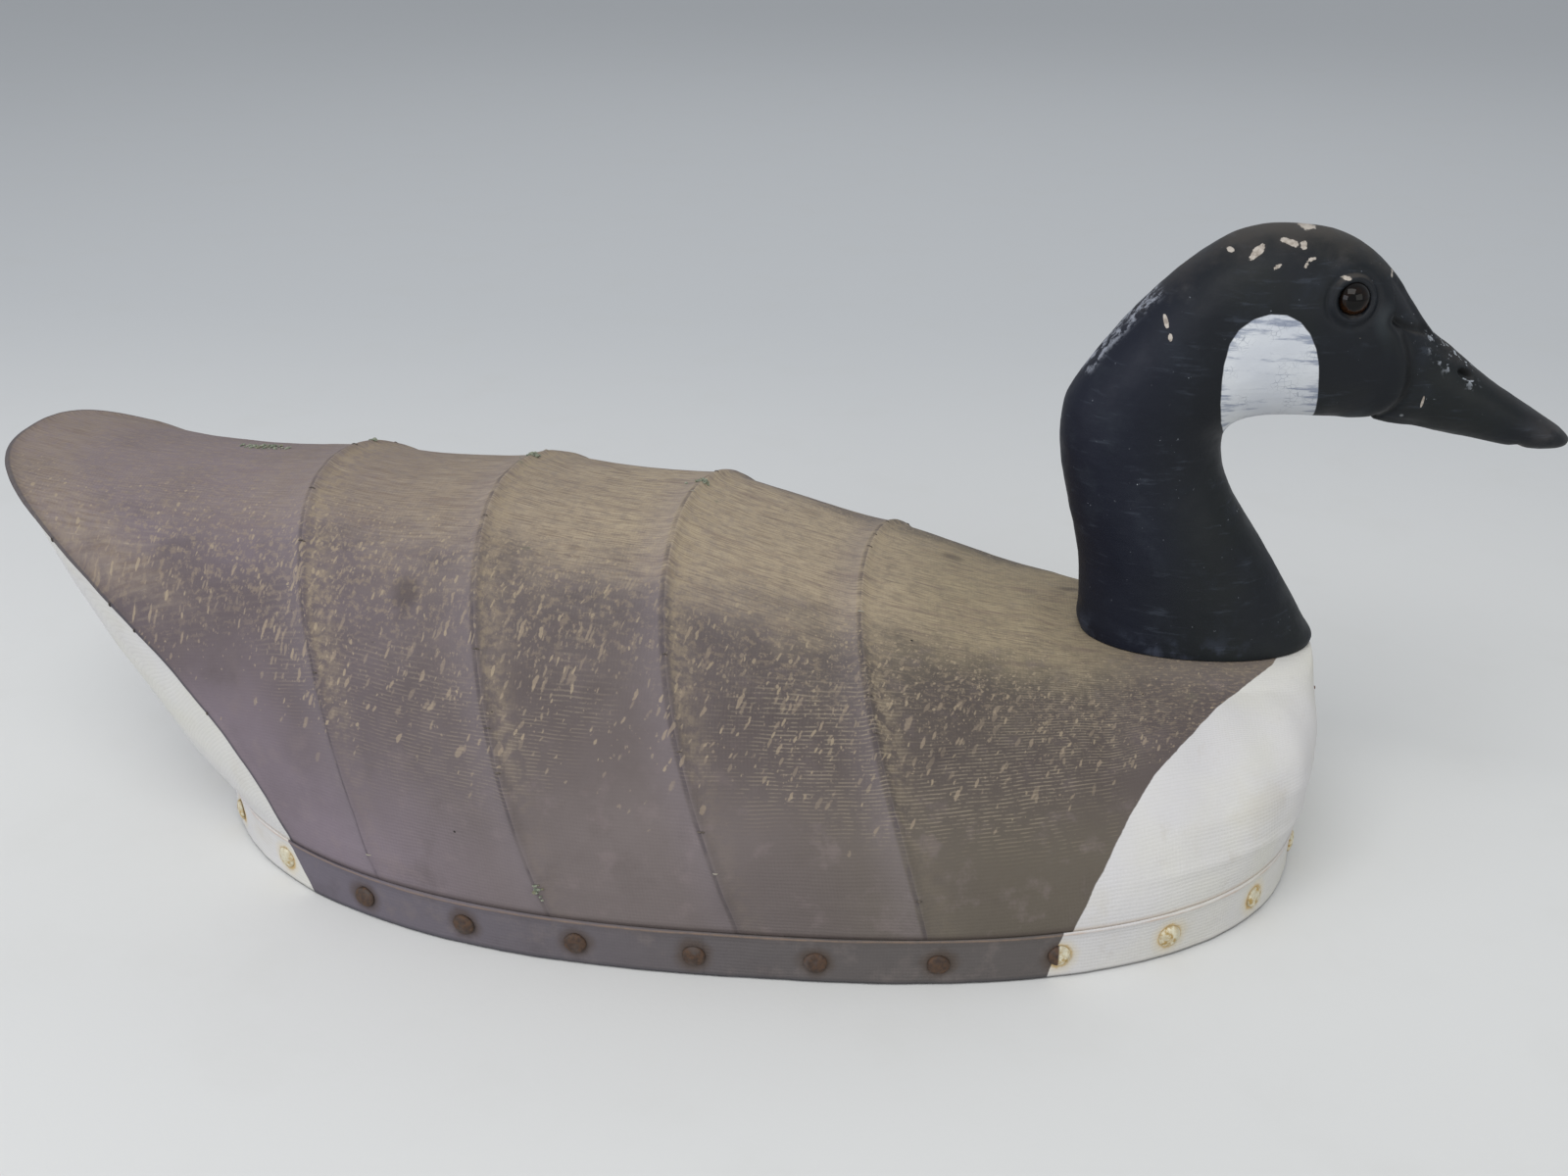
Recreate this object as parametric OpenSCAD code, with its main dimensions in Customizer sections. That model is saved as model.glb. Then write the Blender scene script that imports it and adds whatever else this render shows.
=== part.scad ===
// Goose-shaped field decoy: painted canvas stretched over bent wire ribs on a
// flat wooden bottom board, with a carved wooden head on a dowel.
// Origin: centre of the underside of the bottom board at its widest station.
// +X points to the bill, +Y to the bird's left, +Z up. Millimetres.

/* [Bottom board] */
// Distance from the widest station to the tail end of the board
aft_len = 263; // [200:1:320]
// Distance from the widest station to the chest end of the board
fore_len = 267; // [200:1:320]
// Half width over the edge band
half_width = 160; // [120:1:200]
// Fullness of the tail end outline
aft_fullness = 2.26; // [1.8:0.01:3.2]
// Fullness of the chest end outline
fore_fullness = 2.59; // [1.8:0.01:3.2]
// Thickness of the bottom board
board_thick = 22.6; // [15:0.1:32]

/* [Edge band] */
// Thickness of the band round the board edge
band_thick = 1.8; // [1:0.1:4]
// Height of the folded hem along the top of the band
hem_height = 3.2; // [2:0.1:6]
// Extra thickness of the folded hem
hem_extra = 0.8; // [0.3:0.1:2]
// Number of tacks round the band
tack_count = 27; // [12:1:40]
// Offset of the first tack, in tack spacings
tack_phase = 0.91; // [0:0.01:0.99]
// Diameter of a tack head
tack_dia = 10.2; // [6:0.1:14]
// Height of a tack head's dome
tack_dome = 2.4; // [1:0.1:4]

/* [Canvas] */
// Thickness of the canvas
canvas_thick = 1.0; // [0.6:0.1:2]
// Bulge of the panel under the tail
tail_bulge = 12; // [0:0.5:15]

/* [Frame] */
// Diameter of the bent rib wire
wire_dia = 3.8; // [3:0.1:6]
// Depth of the rib wires in the board
wire_depth = 9; // [5:0.5:15]

/* [Neck and head] */
// Height of the seat the neck stands on
seat_z = 96.2; // [85:0.1:110]
// Centre of the seat, from the widest station of the board
seat_x = 214; // [200:0.5:230]
// Radius of the flat seat round the neck
seat_radius = 58; // [55:0.5:64]
// Gap between the neck and the canvas
seat_gap = 0.4; // [0.3:0.05:1]
// Diameter of the neck dowel
dowel_dia = 22; // [16:0.5:28]
// Diameter of the glass eyes
eye_dia = 15; // [10:0.1:18]

/* [Ballast] */
// Length of the ballast strip
ballast_len = 260; // [120:5:320]
// Width of the ballast strip
ballast_width = 38; // [20:1:60]
// Thickness of the ballast strip
ballast_thick = 9; // [5:0.5:14]

/* [Hidden] */
$fn = 48;

joint_gap = 0.05;               // between the board and parts standing on it
bore_play = 0.1;                // extra diameter of the dowel's bores
wire_radius = wire_dia / 2;
wire_end_z = board_thick - wire_depth;
canvas_foot_z = board_thick + 0.3;

wire_color = [0.3, 0.28, 0.27];
nail_color = [0.5, 0.5, 0.48];
screw_color = [0.55, 0.53, 0.5];
eye_color = [0.12, 0.07, 0.04];

// ---- shared maths ---------------------------------------------------------
// power that is zero for a base of zero or less
function power(base, exponent) = base <= 0 ? 0 : pow(base, exponent);
function signed_power(base, exponent) = sign(base) * power(abs(base), exponent);
function mix(a, b, k) = a * (1 - k) + b * k;
// smooth step from 0 to 1
function ease(k) = k <= 0 ? 0 : k >= 1 ? 1 : k * k * (3 - 2 * k);
function unit(v) = v / norm(v);
function tangent(path, i) =
    unit(path[min(i + 1, len(path) - 1)] - path[max(i - 1, 0)]);

// closed solid through rings of equally many points, capped at both ends
module loft(rings) {
    count = len(rings);
    size = len(rings[0]);
    sides = [for (i = [0 : count - 2]) for (j = [0 : size - 1])
        let (a = i * size + j, b = i * size + (j + 1) % size)
        each [[a, a + size, b + size], [a, b + size, b]]];
    first_cap = [for (j = [0 : size - 1]) j];
    last_cap = [for (j = [size - 1 : -1 : 0]) (count - 1) * size + j];
    polyhedron(points = [for (ring = rings) each ring],
               faces = concat([first_cap], sides, [last_cap]), convexity = 8);
}

// ---- outline of the board -------------------------------------------------
// Two half superellipses meet at x = 0; inset draws them in all round.
function end_len(x, inset) = (x < 0 ? aft_len : fore_len) - inset;
function end_fullness(x) = x < 0 ? aft_fullness : fore_fullness;
function half_width_at(x, inset) =
    let (n = end_fullness(x))
    (half_width - inset) * power(1 - power(abs(x) / end_len(x, inset), n), 1 / n);
// x of the tail end outline at a given y
function tail_edge_x(y, inset) =
    let (across = power(abs(y) / (half_width - inset), aft_fullness))
    -(aft_len - inset) * power(1 - across, 1 / aft_fullness);
// outline point in the direction of an angle from +X
function edge_point(angle, inset = 0) =
    let (c = cos(angle), s = sin(angle), n = end_fullness(c),
         along = power(abs(c) / end_len(c, inset), n),
         across = power(abs(s) / (half_width - inset), n))
    [c, s] / power(along + across, 1 / n);
function outline(inset, count = 120) =
    [for (i = [0 : count - 1]) edge_point(360 * i / count, inset)];

// ---- arches that carry the canvas -----------------------------------------
// [top x, foot x, top z, side exponent, top exponent, sweep, fill]
// The first is the tail hoop, the others are ribs 1 to 4.
arches = [
    [-355, -197.5, 176.5, 2.6, 1.62, 28, -1],
    [-204, -148, 164.1, 2.04, 2.16, 6.9, -2.5],
    [-120, -66.7, 156.9, 1.82, 2.25, 5.9, 9],
    [-33.3, 15, 143.4, 1.9, 2.8, 4.6, 8],
    [55.1, 93.9, 115.5, 1.95, 2.41, 6.1, 10]];
hoop = arches[0];
// [station, arch]; those past the wires shape the chest
stations = concat([for (i = [0 : 4]) [i, arches[i]]], [
    [5, [152, 172, 99.0, 2, 2, 3, 0]],
    [5.6, [214, 212, 97.0, 2, 2, 0, 0]],
    [6, [252, 236, 96.0, 2.05, 2.1, 0, 0]],
    [6.3, [265.5, 247, 90.5, 2.1, 2.2, 0, 0]],
    [6.6, [270.3, 255.5, 76, 2.2, 2.4, 0, 0]],
    [6.8, [271, 260.5, 58, 2.1, 2.2, 0, 0]],
    [6.92, [270, 263.6, 43, 2, 2, 0, 0]],
    [7, [267.6, 265.8, 29, 2, 2, 0, 0]]]);
function top_x(arch) = arch[0];
function foot_x(arch) = arch[1];
function top_z(arch) = arch[2];

function span_at(station, i = 0) =
    i >= len(stations) - 2 || station <= stations[i + 1][0]
        ? i : span_at(station, i + 1);
function arch_at(station) =
    let (i = span_at(station), a = stations[i], b = stations[i + 1])
    mix(a[1], b[1], (station - a[0]) / (b[0] - a[0]));

// a point of an arch, t from -1 (right foot) over the top to 1 (left foot),
// depth is the distance inside the outer face of the canvas
function arch_point(arch, t, depth) =
    let (angle = abs(t) * 90,
         foot_y = half_width_at(foot_x(arch), depth),
         crown_z = top_z(arch) - depth,
         rise = crown_z - canvas_foot_z,
         y = foot_y * power(sin(angle), 2 / arch[3]) + arch[6] * sin(2 * angle),
         z = canvas_foot_z + rise * power(cos(angle), 2 / arch[4]),
         drop = (crown_z - z) / rise)
    [mix(top_x(arch), foot_x(arch), drop) + arch[5] * 4 * drop * (1 - drop),
     sign(t) * y, z];

// ---- canvas ---------------------------------------------------------------
// arch point, moved along X by depth where the canvas slopes at either end
function canvas_point(arch, station, t, depth) =
    let (move = station < 1 ? 0.8 * depth * (1 - station)
                            : -depth * ease((station - 5.8) / 0.6))
    arch_point(arch + [move, move, 0, 0, 0, 0, 0], t, depth);

// the canvas lies flat under the neck: low points inside an ellipse are
// lifted to the seat, high points inside a circle are pressed down to it
lift_half_len = 54;
lift_half_width = 33;
function flat_seat(p, depth) =
    let (x = p[0] - seat_x, y = p[1], z = p[2],
         radius = norm([x, y]),
         seat = seat_z - seat_gap - depth,
         ellipse = norm([x / lift_half_len, y / lift_half_width]),
         lift = ease((1.5 - ellipse) / 0.5) * ease((z - seat + 16) / 8),
         keep = ease((radius - seat_radius) / 22))
    [p[0], y, seat + (z - seat) * (z <= seat ? 1 - lift : keep)];

// the panel under the tail, k from 0 at the hoop to 1 at the board
function panel_point(k, t, depth) =
    let (top = canvas_point(hoop, 0, t, depth),
         y = top[1] * 0.985,
         foot = [tail_edge_x(y, depth), y, canvas_foot_z],
         bulge = tail_bulge * 4 * k * (1 - k) * (1 - t * t))
    mix(top, foot, k) - bulge * [0.75, 0, 0.5];

panel_rows = 5;
body_stations = concat(
    [for (i = [0 : 16]) i / 4],
    [4.25, 4.5, 4.75, 5, 5.2, 5.4, 5.6, 5.8, 6, 6.15, 6.3, 6.45,
     6.6, 6.7, 6.8, 6.86, 6.92, 6.96, 7]);
last_row = panel_rows + len(body_stations) - 1;
cols = 36;
row_size = cols + 1;
lining_start = (last_row + 1) * row_size;
across_steps = [for (j = [0 : cols]) -1 + 2 * j / cols];

function canvas_points(depth) = concat(
    [for (i = [0 : panel_rows - 1]) for (t = across_steps)
        panel_point(1 - i / panel_rows, t, depth)],
    [for (station = body_stations) for (t = across_steps)
        flat_seat(canvas_point(arch_at(station), station, t, depth), depth)]);

function index(row, col) = row * row_size + col;
// triangles turned inside out, with their point numbers moved on
function flipped(faces, offset = 0) =
    [for (f = faces) [f[0] + offset, f[2] + offset, f[1] + offset]];
// strip joining the outer edge a-b to the same edge of the lining
function rim_quad(a, b) =
    [[a, a + lining_start, b + lining_start], [a, b + lining_start, b]];

module canvas_shell() {
    skin = [for (i = [0 : last_row - 1]) for (j = [0 : cols - 1])
        let (a = index(i, j), b = index(i + 1, j))
        each [[a, b, b + 1], [a, b + 1, a + 1]]];
    // the last row is closed from its right half to its left half
    nose = [for (j = [0 : cols / 2 - 1])
        let (right = index(last_row, j), left = index(last_row, cols - j))
        each [[right, left, right + 1],
              if (j < cols / 2 - 1) [right + 1, left, left - 1]]];
    outer = concat(skin, nose);
    right_rim = [for (i = [0 : last_row - 1])
        each rim_quad(index(i, 0), index(i + 1, 0))];
    left_rim = [for (i = [0 : last_row - 1])
        each rim_quad(index(i, cols), index(i + 1, cols))];
    tail_rim = [for (j = [0 : cols - 1]) each rim_quad(j, j + 1)];
    nose_rim = rim_quad(index(last_row, 0), index(last_row, cols));
    polyhedron(
        points = concat(canvas_points(0), canvas_points(canvas_thick)),
        faces = concat(outer, flipped(outer, lining_start), right_rim, nose_rim,
                       flipped(concat(left_rim, tail_rim))),
        convexity = 6);
}

// ---- wires ----------------------------------------------------------------
wire_sides = 10;
rib_inset = 3.2;
hoop_inset = 6.2;
inside_z = 70;                  // height on the centre plane inside every arch

// a round wire along the path; side is a direction never along the wire
module wire(path, side)
    loft([for (i = [0 : len(path) - 1])
        let (along = tangent(path, i),
             u = unit(cross(along, side * -1)),
             v = cross(along, u))
        [for (j = [0 : wire_sides - 1])
            let (angle = 360 * j / wire_sides)
            path[i] + wire_radius * (u * cos(angle) + v * sin(angle))]]);

function arch_normal(arch) =
    unit(cross([foot_x(arch) - top_x(arch), 0, canvas_foot_z - top_z(arch)],
               [0, 1, 0]));
// arch drawn in across its own plane
function inset_arch(arch, inset, steps = 40) =
    let (path = [for (i = [0 : steps])
                    arch_point(arch, (-1 + 2 * i / steps) * 0.985, canvas_thick)],
         normal = arch_normal(arch))
    [for (i = [0 : steps])
        let (p = path[i],
             across = unit(cross(normal, tangent(path, i))),
             inward = [0, -p[1], inside_z - p[2]],
             turn = across * inward < 0 ? -1 : 1)
        p + turn * across * inset];

// each foot bends slightly forward and inward as it enters the board
function foot_above(p) = [p[0] + 1.5, p[1] * 0.985, board_thick + 4];
function foot_end(p) = [p[0] + 3, p[1] * 0.975, wire_end_z];
function with_feet(path) =
    let (right = path[0], left = path[len(path) - 1])
    concat([foot_end(right), foot_above(right)],
           [for (p = path) if (p[2] > board_thick + 10) p],
           [foot_above(left), foot_end(left)]);
module arch_wire(arch, inset = rib_inset)
    wire(with_feet(inset_arch(arch, inset)), arch_normal(arch));

// point where the backbone passes under the crown of an arch wire
function under_crown(arch, inset = rib_inset) =
    let (path = inset_arch(arch, inset), crown = path[(len(path) - 1) / 2])
    [crown[0], 0, crown[2] - wire_dia - 0.1];
spine_end_z = 80;
spine = concat([under_crown(hoop, hoop_inset) + [4.5, 0, 0]],
               [for (i = [1 : 4]) under_crown(arches[i])],
               [[150, 0, 82], [160, 0, spine_end_z], [174, 0, spine_end_z]]);

// ---- places and tacks round the edge --------------------------------------
// the edge is walked in half degrees from the right side, over the chest end
edge_steps = 720;
function step_angle(i) = i / 2 - 90;
edge_path = [for (i = [0 : edge_steps]) edge_point(step_angle(i))];
// distance walked at each step
function running_len(i = 1, sums = [0]) =
    i >= len(edge_path) ? sums
        : running_len(i + 1, concat(sums, [sums[i - 1]
                                           + norm(edge_path[i] - edge_path[i - 1])]));
edge_run = running_len();
edge_len = edge_run[edge_steps];
chest_run = edge_run[180];      // at angle 0
angle_by_run = [for (i = [0 : edge_steps]) [edge_run[i], step_angle(i)]];
function tack_angle(i) =
    lookup(((i + tack_phase) * edge_len / tack_count) % edge_len, angle_by_run);
function edge_normal(angle) =
    let (along = edge_point(angle + 0.3) - edge_point(angle - 0.3))
    atan2(-along[0], along[1]);

// puts children on the edge with their +Z pointing outward
module on_edge(angle, z) {
    p = edge_point(angle);
    translate([p[0], p[1], z])
        rotate([0, 0, edge_normal(angle)])
            rotate([0, 90, 0])
                children();
}

// domed head, cut from a ball
module tack_head(dia, dome) {
    ball = (dia * dia / 4 + dome * dome) / (2 * dome);
    intersection() {
        translate([0, 0, dome - ball]) sphere(r = ball, $fn = 40);
        translate([0, 0, -0.3]) cylinder(d = dia, h = dome + 1, $fn = 32);
    }
}

// ---- head -----------------------------------------------------------------
// Rings from the neck to the tip of the bill:
// [back x, back z, throat x, throat z, half width, fullness]
head_rows = [
    [160.5, seat_z, 268.3, seat_z, 33, 2.1],
    [158.6, 102, 268.6, 99.5, 33, 2.1],
    [158.6, 112, 264, 106, 32.4, 2.1],
    [156.5, 134, 255.5, 119.5, 31.2, 2.1],
    [149.8, 160, 238.4, 146, 29.4, 2.1],
    [145, 183.4, 224.8, 165.8, 28, 2.1],
    [143.8, 196.4, 218.7, 178, 27.2, 2.1],
    [145, 210, 216.1, 187, 26.8, 2.1],
    [150.5, 221.4, 215.4, 193.6, 26.8, 2.1],
    [160, 235.8, 216, 198, 27.2, 2.1],
    [171.4, 250.5, 218.6, 202.2, 28, 2.15],
    [183.2, 263.3, 223.2, 205, 28.8, 2.2],
    [195.4, 274.7, 230.4, 206.8, 29.3, 2.2],
    [208.5, 284, 240.2, 207.3, 29.4, 2.2],
    [222.4, 289.1, 250, 207.3, 29, 2.2],
    [238, 290.3, 260.4, 207.2, 28, 2.2],
    [253.6, 287.9, 270, 207.6, 26.4, 2.2],
    [267.6, 281, 278, 207.6, 24.4, 2.15],
    [279.8, 269.8, 286.3, 206, 22.2, 2.1],
    [288.8, 258.2, 293.9, 204.3, 20.2, 2.05],
    [296, 249, 300, 203, 18.6, 2],
    [301.8, 243.4, 306, 201.7, 17.3, 2],
    [309.4, 238.2, 312.8, 200.2, 16.1, 2],
    [319.1, 231, 321.1, 198.7, 15, 2],
    [328.9, 224.3, 329.6, 197.2, 14.4, 2.05],
    [340, 216.9, 338.6, 195.9, 14, 2.1],
    [351, 209.9, 348.6, 195.4, 13.2, 2.2],
    [358.6, 205.2, 357, 195.6, 11, 2.1],
    [362.6, 202.2, 361.6, 196.4, 7.4, 2],
    [364.4, 200.4, 364, 198, 3, 2]];
last_head_row = len(head_rows) - 1;
head_ring_points = 36;
// Catmull-Rom curve from b to c
function curve(a, b, c, d, k) =
    0.5 * (2 * b + (c - a) * k + (2 * a - 5 * b + 4 * c - d) * k * k
           + (3 * b - a - 3 * c + d) * k * k * k);
function head_at(s) =
    let (i = min(floor(s), last_head_row - 1))
    curve(head_rows[max(i - 1, 0)], head_rows[i], head_rows[i + 1],
          head_rows[min(i + 2, last_head_row)], s - i);
function head_ring(row) =
    let (back = [row[0], row[1]], throat = [row[2], row[3]],
         centre = (back + throat) / 2, reach = (back - throat) / 2)
    [for (j = [0 : head_ring_points - 1])
        let (angle = 360 * j / head_ring_points,
             p = centre + reach * signed_power(cos(angle), 2 / row[5]))
        [p[0], row[4] * signed_power(sin(angle), 2 / row[5]), p[1]]];
// a ring at each row and one halfway between rows
module head_solid()
    loft([for (i = [0 : 2 * last_head_row]) head_ring(head_at(i / 2))]);

// side is 1 for left, -1 for right
module eye_at(side, dia)
    translate([258.0, side * 20.3, 264.6]) sphere(d = dia, $fn = 48);

// ---- board and edge -------------------------------------------------------
module bottom_board() color([0.62, 0.48, 0.33])
    linear_extrude(board_thick) polygon(outline(band_thick + 0.1));

module band_ring(height, outset) difference() {
    linear_extrude(height) polygon(outline(-outset));
    translate([0, 0, -1]) linear_extrude(height + 2)
        polygon(outline(band_thick));
}
module edge_band() color([0.42, 0.36, 0.34]) {
    band_ring(board_thick, 0);
    translate([0, 0, board_thick - hem_height]) band_ring(hem_height, hem_extra);
}

module edge_tacks() color([0.45, 0.3, 0.2])
    for (i = [0 : tack_count - 1]) on_edge(tack_angle(i), board_thick * 0.47) {
        translate([0, 0, 0.05]) tack_head(tack_dia, tack_dome);
        translate([0, 0, -12]) cylinder(d = 2.2, h = 12.5, $fn = 16);
    }

// ---- canvas and frame -----------------------------------------------------
module canvas_cover() color([0.5, 0.43, 0.38]) difference() {
    canvas_shell();
    translate([seat_x, 0, seat_z - 8]) cylinder(d = dowel_dia + 1.6, h = 16);
}

module tail_hoop() color(wire_color)
    translate([2.5, 0, 0]) arch_wire(hoop, hoop_inset);
module rib_1() color(wire_color) arch_wire(arches[1]);
module rib_2() color(wire_color) arch_wire(arches[2]);
module rib_3() color(wire_color) arch_wire(arches[3]);
module rib_4() color(wire_color) arch_wire(arches[4]);

module backbone() color([0.32, 0.3, 0.29]) wire(spine, [0, 1, 0]);

// a ring round the backbone on each side of each rib
module backbone_wraps() color([0.36, 0.33, 0.3])
    for (i = [1 : 4]) for (side = [-1, 1]) {
        along = unit(spine[i + side] - spine[i]);
        translate(spine[i] + along * (wire_radius + 1.9))
            rotate([0, atan2(along[0], along[2]), 0])
                rotate_extrude($fn = 24)
                    translate([wire_radius + 0.75, 0]) circle(r = 0.6, $fn = 10);
    }

module tail_prop() color(wire_color)
    wire([[-243, 0, wire_end_z], [-338, 0, 148]], [0, 1, 0]);

module staple() {
    length = 10;
    leg = 1.2;
    translate([-1.2, -length / 2, 0]) cube([2.4, length, 1.2]);
    for (side = [-1, 1])
        translate([-leg / 2, side * (length - leg) / 2 - leg / 2, -8])
            cube([leg, leg, 8.1]);
}
module rib_staples() color(nail_color)
    for (i = [1 : 4]) for (side = [-1, 1]) {
        x = foot_x(arches[i]);
        y = half_width_at(x, canvas_thick) * 0.9 - 14;
        translate([x + 3, side * y, board_thick]) staple();
    }

// ---- neck and head --------------------------------------------------------
block_len = 98;
block_width = 50;
block_z = board_thick + joint_gap;
block_height = seat_z - seat_gap - canvas_thick - 0.5 - block_z;
dowel_z = 38;
dowel_len = 100;

// round-ended block, bored for the dowel and for the end of the backbone
module neck_block() color([0.66, 0.52, 0.36]) difference() {
    straight = block_len - block_width;
    translate([seat_x, 0, block_z]) {
        translate([-straight / 2, -block_width / 2, 0])
            cube([straight, block_width, block_height]);
        for (end = [-1, 1]) translate([end * straight / 2, 0, 0])
            cylinder(d = block_width, h = block_height, $fn = 64);
    }
    translate([seat_x, 0, dowel_z - 2]) cylinder(d = dowel_dia + bore_play, h = 80);
    translate([155, 0, spine_end_z]) rotate([0, 90, 0])
        cylinder(d = wire_dia + 1, h = 22);
}

module neck_block_screws() color(screw_color)
    for (x = [-30, 30]) for (y = [-14, 14]) translate([seat_x + x, y, 0]) {
        cylinder(d1 = 9, d2 = 4.4, h = 3.4);
        cylinder(d = 4.4, h = 44);
    }

module collar_tacks() color([0.6, 0.55, 0.5])
    for (y = [-16, 16]) translate([256, y, 76]) rotate([0, 90, 0]) {
        translate([0, 0, -6]) cylinder(d = 1.6, h = 21, $fn = 16);
        translate([0, 0, 13.2]) tack_head(5, 1.2);
    }

module neck_dowel() color([0.7, 0.56, 0.38])
    translate([seat_x, 0, dowel_z]) cylinder(d = dowel_dia, h = dowel_len);

module head() color([0.12, 0.13, 0.16]) difference() {
    bore_z = seat_z - 5;
    bore_top = dowel_z + dowel_len + 1;
    head_solid();
    translate([seat_x, 0, bore_z])
        cylinder(d = dowel_dia + bore_play, h = bore_top - bore_z);
    eye_at(-1, eye_dia + 0.08);
    eye_at(1, eye_dia + 0.08);
}
module left_eye() color(eye_color) eye_at(1, eye_dia);
module right_eye() color(eye_color) eye_at(-1, eye_dia);

// ---- ballast and anchor tie -----------------------------------------------
ballast_x = -20;
module ballast() color([0.35, 0.36, 0.38])
    translate([ballast_x - ballast_len / 2, -ballast_width / 2,
               board_thick + joint_gap])
        cube([ballast_len, ballast_width, ballast_thick]);
module ballast_screws() color(screw_color) {
    depth = 14;
    shank = depth + ballast_thick;
    for (x = [-110, 0, 110]) translate([ballast_x + x, 0, board_thick - depth]) {
        cylinder(d = 4, h = shank, $fn = 24);
        translate([0, 0, shank]) cylinder(d1 = 9, d2 = 7, h = 2.6);
    }
}

// the tie is nailed on midway between the first two tacks left of the chest end
first_left_tack = ceil(chest_run * tack_count / edge_len - tack_phase);
tie_angle = tack_angle(first_left_tack + 0.5);
module anchor_tie() color([0.34, 0.27, 0.19])
    on_edge(tie_angle, 9.8) translate([-8.8, -7, 0.15]) cube([17.6, 14, 2]);
module anchor_tie_nail() color(nail_color)
    on_edge(tie_angle, 11) {
        translate([0, 0, -12]) cylinder(d = 2.4, h = 14, $fn = 16);
        translate([0, 0, 2.2]) tack_head(6.5, 1.3);
    }

bottom_board();
edge_band();
edge_tacks();
canvas_cover();
tail_hoop();
rib_1();
rib_2();
rib_3();
rib_4();
backbone();
backbone_wraps();
tail_prop();
rib_staples();
neck_block();
neck_block_screws();
collar_tacks();
neck_dowel();
head();
left_eye();
right_eye();
ballast();
ballast_screws();
anchor_tie();
anchor_tie_nail();
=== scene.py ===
# A bird decoy: painted canvas over wire arches on a flat board, with a carved and painted head.
# The bill points along +X, the left side is +Y and +Z is up, with the board's underside at z = 0.
# Shapes are worked out in millimetres; make() turns them into metres.
import math
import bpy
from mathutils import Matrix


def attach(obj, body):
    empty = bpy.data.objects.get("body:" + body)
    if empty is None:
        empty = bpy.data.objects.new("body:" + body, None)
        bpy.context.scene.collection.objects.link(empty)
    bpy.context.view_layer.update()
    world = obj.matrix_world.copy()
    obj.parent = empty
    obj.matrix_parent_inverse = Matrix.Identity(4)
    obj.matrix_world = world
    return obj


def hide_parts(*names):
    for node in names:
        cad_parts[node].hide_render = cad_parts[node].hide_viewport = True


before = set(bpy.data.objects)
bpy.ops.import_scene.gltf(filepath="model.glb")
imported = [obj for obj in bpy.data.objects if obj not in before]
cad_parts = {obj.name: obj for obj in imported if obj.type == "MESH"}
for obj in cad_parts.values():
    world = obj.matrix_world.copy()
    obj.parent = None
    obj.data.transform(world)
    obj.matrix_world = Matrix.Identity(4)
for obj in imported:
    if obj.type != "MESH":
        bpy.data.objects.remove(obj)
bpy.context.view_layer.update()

from types import SimpleNamespace

import bmesh
import bpy
import numpy as np
from mathutils import Vector

MM = 0.001
MAP_PER_METRE = 10  # one unit of a UV map is 100 mm

# ---------------------------------------------------------------- driving sizes
# The board's outline is two half superellipses that meet at x = 0.
AFT_LENGTH, FORE_LENGTH, HALF_WIDTH = 263.0, 267.0, 160.0
AFT_POWER, FORE_POWER = 2.26, 2.59
BOARD_TOP = 22.6
CLOTH_FOOT = 22.9

# The round seat of the neck on the canvas
SEAT_X, SEAT_RADIUS, SEAT_Z = 214.0, 58.0, 96.2
CLOTH_TOP = SEAT_Z - 0.4
CLOTH_HOLE_RADIUS = 11.8
BORE_RADIUS, BORE_TOP = 11.05, 139.0
EYE_X, EYE_Z = 258.0, 264.6

# Canvas arches: station, then
# [x at top, x at foot, z at top, side power, top power, forward bow, side bulge].
# Station 0 is the tail hoop, 1 to 4 are the wires and the rest close the breast.
TAIL_HOOP = [-355, -197.5, 176.5, 2.6, 1.62, 28, -1]
ARCHES = [
    (0, TAIL_HOOP),
    (1, [-204, -148, 164.1, 2.04, 2.16, 6.9, -2.5]),
    (2, [-120, -66.7, 156.9, 1.82, 2.25, 5.9, 9]),
    (3, [-33.3, 15, 143.4, 1.9, 2.8, 4.6, 8]),
    (4, [55.1, 93.9, 115.5, 1.95, 2.41, 6.1, 10]),
    (5, [152, 172, 99.0, 2, 2, 3, 0]),
    (5.6, [214, 212, 97.0, 2, 2, 0, 0]),
    (6, [252, 236, 96.0, 2.05, 2.1, 0, 0]),
    (6.3, [265.5, 247, 90.5, 2.1, 2.2, 0, 0]),
    (6.6, [270.3, 255.5, 76, 2.2, 2.4, 0, 0]),
    (6.8, [271, 260.5, 58, 2.1, 2.2, 0, 0]),
    (6.92, [270, 263.6, 43, 2, 2, 0, 0]),
    (7, [267.6, 265.8, 29, 2, 2, 0, 0])]
LAST_WIRE = 4
BAY_LENGTHS = [150, 84, 86, 88, 96]  # along the top, between stations 0 and 5
BAY_SAGS = [6.0, 3.5, 3.0, 1.5, 1.0]

COLUMNS = 231
ROW_STEP = 2.1
PANEL_ROWS = 64
ACROSS = np.linspace(-1, 1, COLUMNS)  # from the right foot over the top to the left foot
MIDDLE = COLUMNS // 2


# ---------------------------------------------------------------- curves and noise
def powp(base, power):
    """A power that is 0 where the base isn't positive."""
    return np.where(base > 0, np.power(np.maximum(base, 1e-12), power), 0.0)


def smooth(k):
    k = np.clip(k, 0, 1)
    return k * k * (3 - 2 * k)


def rise(value, start, over):
    """0 up to start, then smoothly up to 1 over the given length."""
    return smooth((value - start) / over)


def fall(value, end, over):
    """1, then smoothly down over the given length to 0 at the end."""
    return smooth((end - value) / over)


def ridge(distance, width):
    return np.exp(-(distance / width) ** 2)


def unit(vector):
    return vector / np.linalg.norm(vector)


def run_along(points):
    """Distance walked along a line of points."""
    steps = np.linalg.norm(np.diff(points, axis=0), axis=1)
    return np.concatenate([[0], np.cumsum(steps)])


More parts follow.
